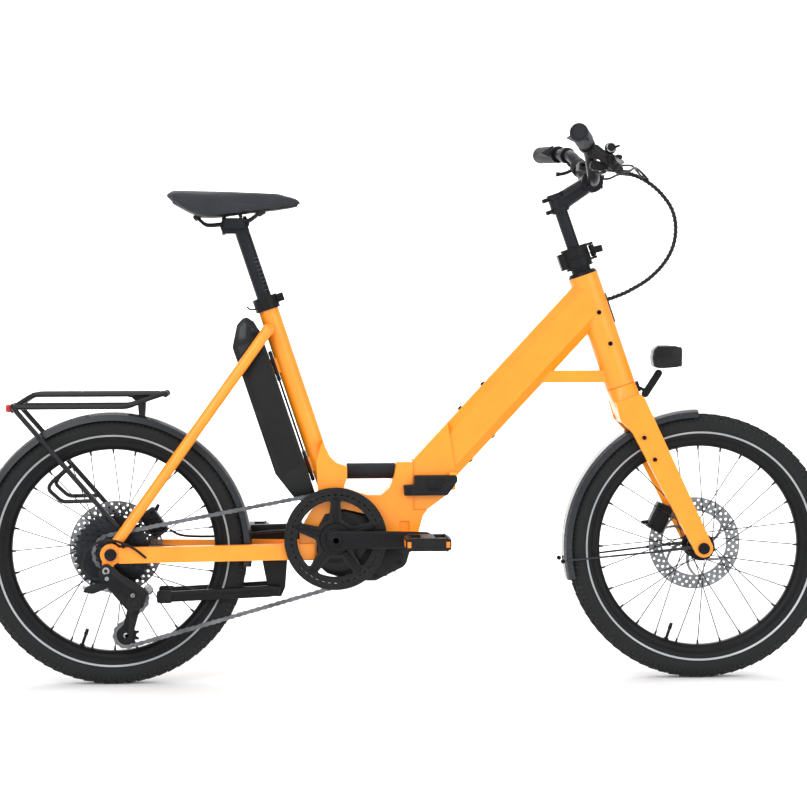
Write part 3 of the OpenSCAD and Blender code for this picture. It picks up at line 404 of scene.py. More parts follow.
CARRIED: dict[str, Finish] = {
    "rear_frame": PAINT, "seat_stays": PAINT, "chain_stays": PAINT, "front_frame": PAINT, "fork": PAINT,
    "handle_grip": GRIP, "motor": ABS, "seat_clamp": BLACK_METAL, "kickstand_bracket": BLACK_METAL,
    "rear_fender": GUARD, "luggage_rack": TUBE_BLACK, "tail_light": RED_LENS, "rear_caliper": BLACK_METAL,
    "rear_axle": SCREW, "derailleur": NYLON, "chain": CHAIN_STEEL, "rear_cables": PVC, "hinge_pin": SCREW,
    "battery": ABS, "seat_post": GRAPHITE, "saddle_rails": SCREW, "saddle_shell": NYLON,
    "saddle_pad": LEATHER,
    "kickstand": BLACK_METAL, "crankset": BLACK_METAL, "chainring": BLACK_METAL, "chain_guard": ABS,
    "pedal_right": NYLON, "pedal_left": NYLON, "cassette": SPROCKET, "rear_tyre": RUBBER,
    "rear_rim": BLACK_METAL,
    "rear_spokes": SPOKE, "rear_hub": BLACK_METAL, "rear_rotor": ROTOR_REAR, "derailleur_cage": BLACK_METAL,
    "guide_pulley": NYLON, "tension_pulley": NYLON, "headset": BLACK_METAL, "frame_latch": NYLON,
    "front_fender": GUARD, "lamp_bracket": BLACK_METAL, "front_caliper": BLACK_METAL, "front_axle": SCREW,
    "stem_clamp": BLACK_METAL, "headlamp": ABS, "stem_lever": BLACK_METAL, "front_tyre": RUBBER,
    "front_rim": BLACK_METAL, "front_spokes": SPOKE, "front_hub": BLACK_METAL, "front_rotor": ROTOR_FRONT,
    "stem_mast": GRAPHITE, "handlebar": GRAPHITE, "grips": GRIP, "controls": NYLON,
    "brake_lever_right": BLACK_METAL,
    "brake_lever_left": BLACK_METAL, "shift_lever": NYLON, "control_cables": PVC,
}


class Shape:
    """A mesh in the making, in millimetres from the rear axle."""

    def __init__(self) -> None:
        """Starts with nothing."""
        self.bm = bmesh.new()

    def _round(self, verts: list[bmesh.types.BMVert], offset: float, segments: int = 2) -> None:
        """Rounds the sharp edges between the given vertices."""
        if offset <= 0:
            return
        self.bm.normal_update()
        own = set(verts)
        edges = {e for v in verts for e in v.link_edges if e.other_vert(v) in own}
        sharp = [e for e in edges if len(e.link_faces) == 2 and e.calc_face_angle(0) > math.radians(28)]
        bmesh.ops.bevel(
            self.bm, geom=sharp, offset=offset, offset_type="OFFSET", affect="EDGES",
            segments=segments, profile=0.5, material=-1, clamp_overlap=True,
        )

    def prism(
        self, outline: list[Flat], y0: float, y1: float, bevel: float = 0.0, segments: int = 2,
        panel: Flat | None = None,
    ) -> "Shape":
        """Extrudes a side outline from y0 to y1.

        Args:
            outline: points in X and Z.
            y0: the first face.
            y1: the second face.
            bevel: radius along the rims.
            segments: steps of that radius.
            panel: width of the border and height of a panel raised on, or sunk in, the second face.

        Returns:
            The shape.
        """
        verts = [self.bm.verts.new((x, y0, z)) for x, z in outline]
        face = self.bm.faces.new(verts)
        made = bmesh.ops.extrude_face_region(self.bm, geom=[face])["geom"]
        moved = [g for g in made if isinstance(g, bmesh.types.BMVert)]
        bmesh.ops.translate(self.bm, verts=moved, vec=(0, y1 - y0, 0))
        self._round(verts + moved, bevel, segments)
        if panel:
            self.bm.normal_update()
            flat = [f for f in self.bm.faces if all(abs(v.co.y - y1) < 1e-4 for v in f.verts)]
            big = max(flat, key=lambda f: f.calc_area())
            bmesh.ops.inset_region(self.bm, faces=[big], thickness=panel[0], depth=0.0)
            bmesh.ops.inset_region(self.bm, faces=[big], thickness=0.8, depth=0.0)
            rise = panel[1] if y1 > y0 else -panel[1]
            bmesh.ops.translate(self.bm, verts=list(big.verts), vec=(0, rise, 0))
        return self

    def pierced(self, outline: list[Flat], holes: list[list[Flat]], y0: float, y1: float) -> "Shape":
        """Extrudes an outline with holes through it, from y0 to y1."""
        edges = []
        for loop in (outline, *holes):
            ring = [self.bm.verts.new((x, y0, z)) for x, z in loop]
            edges += [self.bm.edges.new((ring[k - 1], ring[k])) for k in range(len(ring))]
        filled = bmesh.ops.triangle_fill(self.bm, use_beauty=True, edges=edges, normal=(0, 1, 0))["geom"]
        faces = [g for g in filled if isinstance(g, bmesh.types.BMFace)]
        made = bmesh.ops.extrude_face_region(self.bm, geom=faces)["geom"]
        moved = [g for g in made if isinstance(g, bmesh.types.BMVert)]
        bmesh.ops.translate(self.bm, verts=moved, vec=(0, y1 - y0, 0))
        return self

    def turned(
        self, profile: list[Flat], centre: Point, axis: Point = (0, 1, 0), steps: int = 32,
        closed: bool = False, sweep: float = 360.0, start: Point | None = None,
    ) -> "Shape":
        """Spins a profile of (radius, height along the axis) about an axis through the centre."""
        along = Vector(axis).normalized()
        out = Vector(start).normalized() if start else along.orthogonal().normalized()
        base = Vector(centre)
        verts = [self.bm.verts.new(base + out * r + along * h) for r, h in profile]
        edges = [self.bm.edges.new(pair) for pair in zip(verts, verts[1:])]
        if closed:
            edges.append(self.bm.edges.new((verts[-1], verts[0])))
        full = sweep >= 360
        made = bmesh.ops.spin(
            self.bm, geom=verts + edges, cent=base, axis=along, angle=math.radians(sweep), steps=steps,
            use_merge=full
        )
        if not full and closed:
            last = [g for g in made["geom_last"] if isinstance(g, bmesh.types.BMVert)]
            self.bm.faces.new(verts)
            self.bm.faces.new(last)
        return self

    def _skin(self, rings: list[tuple[int, float, Matrix]]) -> "Shape":
        """Joins circles into a closed skin; each has its number of sides, its radius and its place."""
        loops = []
        for i, (sides, radius, place) in enumerate(rings):
            ends = i in (0, len(rings) - 1)
            made = bmesh.ops.create_circle(
                self.bm, cap_ends=ends, segments=sides, radius=radius, matrix=place,
            )
            own = set(made["verts"])
            loops.append([e for v in own for e in v.link_edges if e.other_vert(v) in own])
        for a, b in zip(loops, loops[1:]):
            bmesh.ops.bridge_loops(self.bm, edges=list({*a, *b}))
        return self

    def sweep(
        self, path: list[Vector], radius: float | list[float], sides: int = 12, flat: float = 1.0,
        up: Point = (0.1, 0.2, 1.0),
    ) -> "Shape":
        """Runs a round or flattened section along a path, with closed ends."""
        points = [Vector(p) for p in path]
        radii = radius if isinstance(radius, list) else [radius] * len(points)
        last = len(points) - 1
        rings = []
        side = None
        for i, point in enumerate(points):
            along = (points[min(i + 1, last)] - points[max(i - 1, 0)]).normalized()
            side = (side or Vector(up)) - along * (side or Vector(up)).dot(along)
            side.normalize()
            turn = Matrix((side.cross(along), side, along)).transposed().to_4x4()
            place = Matrix.Translation(point) @ turn @ Matrix.Diagonal((radii[i], radii[i] * flat, 1, 1))
            rings.append((sides, 1.0, place))
        return self._skin(rings)

    def block(
        self, centre: Point, size: Point, turn: Matrix | None = None, bevel: float = 0.0, segments: int = 2,
    ) -> "Shape":
        """Adds a box with rounded edges."""
        place = Matrix.Translation(centre) @ (turn or Matrix.Identity(4)) @ Matrix.Diagonal((*size, 1))
        made = bmesh.ops.create_cube(self.bm, size=1.0, matrix=place)
        self._round(made["verts"], bevel, segments)
        return self

    def pin(
        self, a: Point, b: Point, radius: float, end: float | None = None, sides: int = 20,
        bevel: float = 0.0,
    ) -> "Shape":
        """Adds a round bar from a to b, tapered where end is given."""
        start, along = Vector(a), Vector(b) - Vector(a)
        place = Matrix.Translation(start + along / 2) @ along.to_track_quat("Z", "Y").to_matrix().to_4x4()
        made = bmesh.ops.create_cone(
            self.bm, cap_ends=True, segments=sides, radius1=radius, radius2=radius if end is None else end,
            depth=along.length, matrix=place,
        )
        self._round(made["verts"], bevel, 2)
        return self

    def ball(self, centre: Point, size: Point, turn: Matrix | None = None, steps: int = 20) -> "Shape":
        """Adds a round or stretched ball."""
        place = Matrix.Translation(centre) @ (turn or Matrix.Identity(4)) @ Matrix.Diagonal((*size, 1))
        bmesh.ops.create_uvsphere(self.bm, u_segments=steps, v_segments=steps // 2, radius=1.0, matrix=place)
        return self

    def screw(self, at: Point, out: Point, radius: float, height: float = 3.0) -> "Shape":
        """Adds a socket screw's head: a rounded cap with a six-sided recess."""
        along = Vector(out).normalized()
        turn = along.to_track_quat("Z", "Y").to_matrix().to_4x4()
        recess = radius * 0.52
        levels = (
            (24, radius, 0.0), (24, radius, height * 0.75), (24, radius * 0.86, height),
            (6, recess, height), (6, recess, height * 0.35),
        )
        return self._skin([(n, r, Matrix.Translation(Vector(at) + along * h) @ turn) for n, r, h in levels])

    def around(self, count: int, centre: Point, axis: Point = (0, 1, 0)) -> "Shape":
        """Repeats all that is there, evenly round an axis."""
        geom = self.bm.verts[:] + self.bm.edges[:] + self.bm.faces[:]
        bmesh.ops.spin(
            self.bm, geom=geom, cent=centre, axis=axis, angle=math.tau * (count - 1) / count, steps=count - 1,
            use_duplicate=True
        )
        return self

    def mirrored(self) -> "Shape":
        """Repeats all that is there on the other side of the middle plane."""
        geom = self.bm.verts[:] + self.bm.edges[:] + self.bm.faces[:]
        copy = bmesh.ops.duplicate(self.bm, geom=geom)["geom"]
        verts = [g for g in copy if isinstance(g, bmesh.types.BMVert)]
        bmesh.ops.scale(self.bm, vec=(1, -1, 1), verts=verts)
        return self

    def moved(self, place: Matrix) -> "Shape":
        """Carries all that is there by a matrix."""
        self.bm.transform(place)
        return self

    def build(
        self, name: str, body: str, finish: Finish, *stands_for: str, crease: float = 38.0,
        merge: float = 0.002
    ) -> bpy.types.Object:
        """Makes the object, dresses it and puts it on its body.

        Args:
            name: the piece's name.
            body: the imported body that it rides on, or "" where the caller places it.
            finish: its finish.
            *stands_for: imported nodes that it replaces.
            crease: angle in degrees past which an edge stays crisp.
            merge: distance in millimetres under which points join.

        Returns:
            The object.
        """
        bmesh.ops.remove_doubles(self.bm, verts=self.bm.verts[:], dist=merge)
        bmesh.ops.recalc_face_normals(self.bm, faces=self.bm.faces[:])
        self.bm.transform(PLACE)
        for face in self.bm.faces:
            face.smooth = True
        for edge in self.bm.edges:
            edge.smooth = len(edge.link_faces) == 2 and edge.calc_face_angle(0) < math.radians(crease)
        mesh = bpy.data.meshes.new(name)
        self.bm.to_mesh(mesh)
        self.bm.free()
        mesh.materials.append(finish.material())
        made = bpy.data.objects.new(name, mesh)
        bpy.context.scene.collection.objects.link(made)
        if body:
            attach(made, body)
        if stands_for:
            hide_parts(*stands_for)
        log.info("%s: %d faces on %s", name, len(mesh.polygons), body or "its own")
        return made


def curve(points: list[Point], steps: int = 6) -> list[Vector]:
    """Smooth line through points.

    Args:
        points: what it passes through.
        steps: points added in each stretch.

    Returns:
        The points of the line.
    """
    p = [Vector(q) for q in points]
    p = [2 * p[0] - p[1], *p, 2 * p[-1] - p[-2]]
    line = []
    for i in range(1, len(p) - 2):
        a, b, c, d = p[i - 1 : i + 3]
        for k in range(steps):
            t = k / steps
            line.append(
                0.5 * (
                    2 * b + (c - a) * t + (2 * a - 5 * b + 4 * c - d) * t**2 + (3 * b - a - 3 * c + d) * t**3
                )
            )
    return [*line, p[-2]]


def polar(centre: Flat, reach: float, bearing_deg: float) -> Flat:
    """A point in X and Z by its distance and bearing from a centre, in degrees."""
    turn = math.radians(bearing_deg)
    return (centre[0] + reach * math.cos(turn), centre[1] + reach * math.sin(turn))


def round_outline(
    centre: Flat, radius: float, steps: int = 40, start: float = 0.0, sweep: float = 360.0
) -> list[Flat]:
    """Points along a circle or an arc, in X and Z."""
    count = steps if sweep >= 360 else steps + 1
    return [polar(centre, radius, start + sweep * i / steps) for i in range(count)]


def bar_outline(a: Flat, b: Flat, wide: float, narrow: float) -> list[Flat]:
    """Outline of a bar between two round ends."""
    lean = math.degrees(math.atan2(b[1] - a[1], b[0] - a[0]))
    far = round_outline(b, narrow, 16, lean - 90, 180)
    near = round_outline(a, wide, 16, lean + 90, 180)
    return far + near


@dataclass
class Wheel:
    """One wheel's tyre, rim and fittings."""

    end: str
    axle: Flat
    rotor_y: float
    spokes: int = 28
    tyre_r: float = AXLE_Z
    tread_rows: int = 78
    rotor_r: float = 90.0
    rotor_half: float = 0.9
    rotor_holes: int = 34

    def build(self) -> None:
        """Builds every piece of the wheel."""
        self._tyre()
        self._rim()
        self._fittings()

    def _at(self, y: float = 0.0) -> Point:
        """A point on the axle."""
        return (self.axle[0], y, self.axle[1])

    def _tyre(self) -> None:
        """Carcass, tread blocks and the reflecting stripe."""
        body = f"{self.end}_wheel"
        half = [
            (207, 7.2), (207.2, 11.6), (211, 13.4), (216, 18.6), (222, 23.2), (230, 26.2), (238, 26.6),
            (245, 24.2), (250.5, 18.6), (253.6, 11.5), (255, 4),
        ]
        inner = [
            (251.2, 3), (249.8, 10), (246.2, 16), (239, 20.4), (231, 21.8), (224, 19.6), (217, 14.2),
            (212, 9.4), (209.5, 7),
        ]
        outer = half + [(r, -y) for r, y in reversed(half)]
        back = [(r, -y) for r, y in reversed(inner)] + inner
        Shape().turned(outer + back, self._at(), steps=160, closed=True).build(
            f"{self.end}_tyre_carcass", body, RUBBER, f"{self.end}_tyre"
        )
        tread = Shape()
        x, z = self.axle
        for y, drop, size, lean in (
            (0.0, 0.9, (2.4, 6.4, 18.6), 0), (8.2, 1.5, (2.6, 6.8, 18.0), 10),
            (-8.2, 1.5, (2.6, 6.8, 18.0), -10), (16.0, 5.0, (3.2, 6.2, 17.4), -9),
            (-16.0, 5.0, (3.2, 6.2, 17.4), 9),
        ):
            tilt = Matrix.Rotation(math.radians(-y * 1.9), 4, "Z") @ Matrix.Rotation(
                math.radians(lean), 4, "X",
            )
            tread.block(
                (x + self.tyre_r - 0.8 - drop - size[0] / 2 + 0.6, y, z + (4 if abs(y) > 12 else 0)), size,
                tilt,
            )
        tread.around(self.tread_rows, self._at()).build(f"{self.end}_tread", body, TREAD)
        side = Shape()
        for s in (1, -1):
            side.turned(
                [(219.4, s * 21.6), (222.6, s * 23.9), (222.2, s * 24.5), (218.9, s * 22.2)], self._at(),
                steps=160, closed=True,
            )
        side.build(f"{self.end}_stripe", body, REFLEX)
        shoulder = Shape()
        for s in (1, -1):
            shoulder.block(
                (x + 245.0, s * 24.3, z), (7.0, 1.2, 2.6), Matrix.Rotation(math.radians(-s * 38), 4, "Z"),
            )
        shoulder.around(2 * self.tread_rows, self._at()).build(f"{self.end}_shoulder_ribs", body, TREAD)

    def _rim(self) -> None:
        """Double-walled rim; its nipples and valve are built with the fittings."""
        half = [
            (193.2, 4.5), (195, 8.5), (200.5, 13.0), (203, 14.0), (209, 14.0), (209, 12.3), (201.6, 12.3),
            (200.8, 8),
        ]
        ring = [(r, -y) for r, y in half[:5]][::-1] + half + [(r, -y) for r, y in half[5:]][::-1]
        Shape().turned(ring, self._at(), steps=160, closed=True).build(
            f"{self.end}_rim_shell", f"{self.end}_wheel", BLACK_METAL, f"{self.end}_rim",
        )

    def _fittings(self) -> None:
        """Spoke nipples, valve, rotor and the rotor's screws."""
        body = f"{self.end}_wheel"
        nipples = Shape()
        for i in range(self.spokes):
            turn = math.tau * i / self.spokes
            out = Vector((math.cos(turn), 0, math.sin(turn)))
            side = -3.0 if i % 2 == 0 else 3.0
            foot = Vector(self._at(side)) + out * 193.6
            nipples.pin(foot, foot - out * 8 + Vector((0, side * 0.35, 0)), 2.4, 1.7, 10)
        nipples.build(f"{self.end}_nipples", body, SPOKE)
        out = Vector((math.cos(-1.9), 0, math.sin(-1.9)))
        valve = Shape()
        centre = Vector(self._at())
        valve.pin(centre + out * 194, centre + out * 172, 3.0, bevel=0.4).pin(
            centre + out * 172, centre + out * 160, 4.0, 3.2, bevel=0.8,
        )
        valve.pin(centre + out * 194, centre + out * 190.5, 5.2, sides=6)
        valve.build(f"{self.end}_valve", body, SCREW)
        self._rotor(body)
        screws = Shape().screw(
            (self.axle[0] + 20.5, self.rotor_y + self.rotor_half, self.axle[1]), (0, 1, 0), 3.6, 2.4,
        ).around(6, self._at())
        screws.build(f"{self.end}_rotor_screws", body, SCREW)

    def _rotor(self, body: str) -> None:
        """Brake rotor: a band with three rows of holes, on curved arms."""
        y0, y1 = self.rotor_y - self.rotor_half, self.rotor_y + self.rotor_half
        holes = [round_outline(self.axle, 63.0, 60)]
        for row, (reach, radius) in enumerate(((84.6, 2.5), (77.4, 2.7), (69.6, 2.3))):
            for k in range(self.rotor_holes):
                middle = polar(self.axle, reach, 360 * (k + 0.45 * row) / self.rotor_holes)
                holes.append(round_outline(middle, radius, 8))
        rotor = Shape().pierced(round_outline(self.axle, self.rotor_r, 96), holes, y0, y1)
        rotor.pierced(round_outline(self.axle, 24.0, 40), [round_outline(self.axle, 16.0, 32)], y0, y1)
        for k in range(6):
            spine = [(22 + 44 * n / 6, 60 * k + 34 * (n / 6) ** 1.3) for n in range(7)]
            near = [polar(self.axle, r, a - 190 / r) for r, a in spine]
            far = [polar(self.axle, r, a + 190 / r) for r, a in spine[::-1]]
            rotor.prism(near + far, y0 + 0.1, y1 - 0.1)
        finish = ROTOR_REAR if self.end == "rear" else ROTOR_FRONT
        rotor.build(f"{self.end}_rotor_disc", body, finish, f"{self.end}_rotor")


@dataclass
class Saddle:
    """Padded saddle: cover, shell, rails and stitching.

    Each station gives X, half the width, the height of the skirt's edge and of the top.
    voxel, skirt_top, swell_top and swell_skirt are in metres: the remesh's step, the
    height where the skirt ends, and how far a point above or below it may swell.
    """

    rail_y: float = 22.0
    voxel: float = 0.0034
    swell_steps: int = 20
    skirt_top: float = 0.916
    swell_top: float = 0.0018
    swell_skirt: float = 0.0004
    stations: tuple[tuple[float, float, float, float], ...] = (
        (104.5, 24, 931, 937.5), (108, 45, 927, 940.6), (118, 62, 920, 942), (132, 71, 912, 942.2),
        (148, 73.5, 903.5, 941.8),
        (165, 71.5, 896, 941.3), (185, 64, 893.5, 941), (205, 54, 894.5, 940.8), (230, 42.5, 898, 940),
        (258, 32.5, 901.5, 939.2),
        (290, 25.5, 905, 938), (320, 21.5, 908.5, 936.8), (342, 18.5, 912, 934), (355, 14, 915, 929.5),
        (361.5, 8, 918, 924),
    )

    def build(self) -> None:
        """Builds the pad and what carries it."""
        pad = self._pad()
        self._swell(pad)
        finish = pad.modifiers.new("smoothing", "SUBSURF")
        finish.levels = finish.render_levels = 1
        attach(pad, "seat")
        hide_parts("saddle_pad")
        self._shell()
        self._rails()
        self._stitches()

    def _loft(self, rings: list[list[Vector]]) -> Shape:
        """Joins closed rings into one closed form."""
        shape = Shape()
        loops = []
        for i, ring in enumerate(rings):
            verts = [shape.bm.verts.new(p) for p in ring]
            loops.append([shape.bm.edges.new((verts[k - 1], verts[k])) for k in range(len(verts))])
            if i in (0, len(rings) - 1):
                shape.bm.faces.new(verts)
        for a, b in zip(loops, loops[1:]):
            bmesh.ops.bridge_loops(shape.bm, edges=[*a, *b])
        return shape

    def _ring(self, station: tuple[float, float, float, float]) -> list[Vector]:
        """Cross-section of the pad: crowned on top, a skirt at its sides, hollow below."""
        x, half, low, high = station
        tall = high - low
        lift = min(0.45 * tall, 2.0 + 0.16 * half)
        groove = 2.4 * min(1.0, half / 30)
        side = [
            (0, high - groove), (0.1, high - 0.6 * groove), (0.22, high), (0.45, high - 0.01 * tall),
            (0.7, high - 0.06 * tall), (0.87, high - 0.17 * tall),
        ]
        side += [
            (0.965, high - 0.36 * tall), (1.0, high - 0.58 * tall), (0.985, low + 0.22 * tall),
            (0.955, low + 0.07 * tall), (0.915, low),
        ]
        side += [
            (0.86, low + 0.15 * lift), (0.8, low + 0.6 * lift), (0.7, low + lift), (0.45, low + lift),
            (0.2, low + lift),
        ]
        right = [Vector((x, half * w, z)) for w, z in side]
        left = [Vector((x, -p.y, p.z)) for p in right[:0:-1]]
        return right + [Vector((x, 0, low + lift))] + left

    def _pad(self) -> bpy.types.Object:
        """Closed crowned form, from its tail to its nose."""
        return self._loft([self._ring(station) for station in self.stations]).build(
            "saddle_cover", "", LEATHER, crease=80,
        )

    def _swell(self, pad: bpy.types.Object) -> None:
        """Lets the padding press the cover out, by a few millimetres at most."""
        scene = bpy.context.scene
        bpy.context.view_layer.objects.active = pad
        voxel = pad.modifiers.new("remesh", "REMESH")
        voxel.mode, voxel.voxel_size = "VOXEL", self.voxel
        with bpy.context.temp_override(object=pad, active_object=pad):
            bpy.ops.object.modifier_apply(modifier=voxel.name)
        rest = [v.co.copy() for v in pad.data.vertices]
        cloth = pad.modifiers.new("cloth", "CLOTH")
        cloth.settings.use_pressure = True
        cloth.settings.uniform_pressure_force = 4.0
        cloth.settings.effector_weights.gravity = 0.0
        cloth.point_cache.frame_start, cloth.point_cache.frame_end = 1, self.swell_steps
        for step in range(1, self.swell_steps + 1):
            scene.frame_set(step)
        swollen = pad.evaluated_get(bpy.context.evaluated_depsgraph_get())
        ends = [v.co.copy() for v in swollen.data.vertices]
        pad.modifiers.remove(cloth)
        scene.frame_set(1)
        for vert, old, new in zip(pad.data.vertices, rest, ends):
            shift = new - old
            limit = self.swell_top if old.z > self.skirt_top else self.swell_skirt
            if shift.length > limit:
                shift = shift.normalized() * limit
            vert.co = old + shift
        mesh = bmesh.new()
        mesh.from_mesh(pad.data)
        bmesh.ops.smooth_vert(
            mesh, verts=mesh.verts[:], factor=0.5, use_axis_x=True, use_axis_y=True, use_axis_z=True,
        )
        mesh.to_mesh(pad.data)
        mesh.free()
        for face in pad.data.polygons:
            face.use_smooth = True

    def _shell(self) -> None:
        """Moulded shell under the cover, with sockets for the rails."""
        rings = []
        for x, half, low, high in self.stations[2:-1]:
            wide, deep = half * 0.84, low - 0.6
            side = [
                (0, 9), (0.9, 9), (1.0, 7.6), (1.0, 2.6), (0.93, 0.6), (0.75, -0.4), (0.4, -0.9), (0, -1.0),
            ]
            right = [Vector((x, wide * w, deep + z)) for w, z in side]
            rings.append(right + [Vector((x, -p.y, p.z)) for p in right[-2:0:-1]])
        shell = self._loft(rings)
        for s in (1, -1):
            shell.block((286, s * 16, 902), (16, 9, 9), Matrix.Rotation(math.radians(-30), 4, "Y"), 2)
            shell.block(
                (164, s * self.rail_y, 894.5), (16, 13, 9), Matrix.Rotation(math.radians(-35), 4, "Y"), 2,
            )
        for x in (215, 246):
            shell.block((x, 0, 897), (7, 40, 8), bevel=2)
        shell.build("saddle_tray", "seat", NYLON, "saddle_shell")

    def _rails(self) -> None:
        """Bent steel rails from the shell's nose to its tail."""
        rails = Shape()
        y = self.rail_y
        bend = [
            (290, 15, 905), (282, 16.5, 902), (272, 19, 894), (262, y, 887.5), (248, y, 885), (220, y, 881.5),
            (190, y, 878.4), (178, y, 880.5), (169, y, 888), (162, y, 895),
        ]
        rails.sweep(curve(bend, 5), 3.5, 12).mirrored().build(
            "saddle_rail_bars", "seat", SCREW, "saddle_rails",
        )

    def _stitches(self) -> None:
        """Row of stitches above the edge of the cover."""
        rim = []
        for s in (1, -1):
            side = [
                (x, s * half * 1.003, high - (high - low) * 0.6) for x, half, low, high in self.stations[1:-1]
            ]
            rim.append(side if s > 0 else side[::-1])
        path = curve([*rim[0], (363.2, 0, 920.5), *rim[1]], 5)
        stitches = Shape()
        length = 0.0
        for a, b in zip(path, path[1:]):
            length += (b - a).length
            if length >= 5.2:
                length = 0.0
                along = (b - a).normalized()
                mid = (a + b) / 2 + Vector((0, math.copysign(0.9, a.y), 0))
                stitches.pin(mid - along * 1.5, mid + along * 1.5, 0.45, sides=6)
        stitches.build("saddle_stitches", "seat", THREAD)


@dataclass
class Battery:
    """Battery pack behind the seat tube."""

    half_w: float = 36.0
    outline: tuple[Flat, ...] = (
        (-28, -377), (-28, -52), (-34, -26), (-44, -14), (-52, -14), (-66, -22), (-88, -60), (-88, -315),
        (-68, -371), (-52, -385),
    )

    def build(self) -> None:
        """Builds the case, its panels and its lock."""
        shell = Shape().prism(list(self.outline), -self.half_w + 0.6, self.half_w - 0.6, 3.2, 3)
        shell.moved(SEAT).build("battery_case", "battery", ABS, "battery")
        panels = (
            # The top panel's colour is painted lighter as a highlight.
            (
                "top_panel", [(-38, -40), (-50, -22), (-62, -29), (-78, -58), (-78, -84), (-38, -70)], 0.6,
                ABS_GLOSS_WITH_PAINTED_HIGHLIGHT,
            ),
            ("strip", [(-82, -90), (-87.2, -90), (-87.2, -312), (-82, -322)], 0.5, GRAPHITE),
            ("foot_panel", [(-34, -322), (-34, -374), (-53, -381), (-67, -368), (-80, -330)], 0.6, NYLON),
            ("side_panel", [(-34, -76), (-78, -90), (-78, -322), (-34, -312)], 0.6, NYLON),
        )
        for s in (1, -1):
            name = "near" if s < 0 else "far"
            y0, y1 = s * (self.half_w - 1.4), s * self.half_w
            for label, outline, bevel, finish in panels:
                panel = Shape().prism(outline, y0, y1, bevel).moved(SEAT)
                panel.build(f"battery_{label}_{name}", "battery", finish)
        lock = Shape().pin((-44, -self.half_w - 0.2, -48), (-44, -self.half_w + 3, -48), 6.5, bevel=0.6)
        lock.moved(SEAT).build("battery_lock", "battery", SCREW)
        rail = Shape()
        for z in (-322, -120):
            rail.block((-23.5, 0, z), (7, 30, 60), bevel=2)
        rail.block((-23.6, 0, -220), (4.0, 18, 250), bevel=1.2)
        rail.moved(SEAT).build("battery_rail", "rear_frame", NYLON)


def bearing(centre: Flat, point: Flat) -> float:
    """Angle of a point seen from a centre."""
    return math.atan2(point[1] - centre[1], point[0] - centre[0])


def tangent(a: Flat, ra: float, sa: int, b: Flat, rb: float, sb: int, turn: int) -> tuple[Flat, Flat]:
    """Line that touches two circles.

    Args:
        a: first centre.
        ra: its radius.
        sa: 1 or -1, the side of the line that it lies on.
        b: second centre.
        rb: its radius.
        sb: its side.
        turn: 1 or -1, which of the two lines.

    Returns:
        The points where it touches each circle.
    """
    d = Vector(b) - Vector(a)
    u = d.normalized()
    w = Vector((-u.y, u.x))
    lean = turn * math.acos((sa * ra - sb * rb) / d.length)
    n = math.cos(lean) * u + math.sin(lean) * w
    return tuple(Vector(a) + sa * ra * n), tuple(Vector(b) + sb * rb * n)


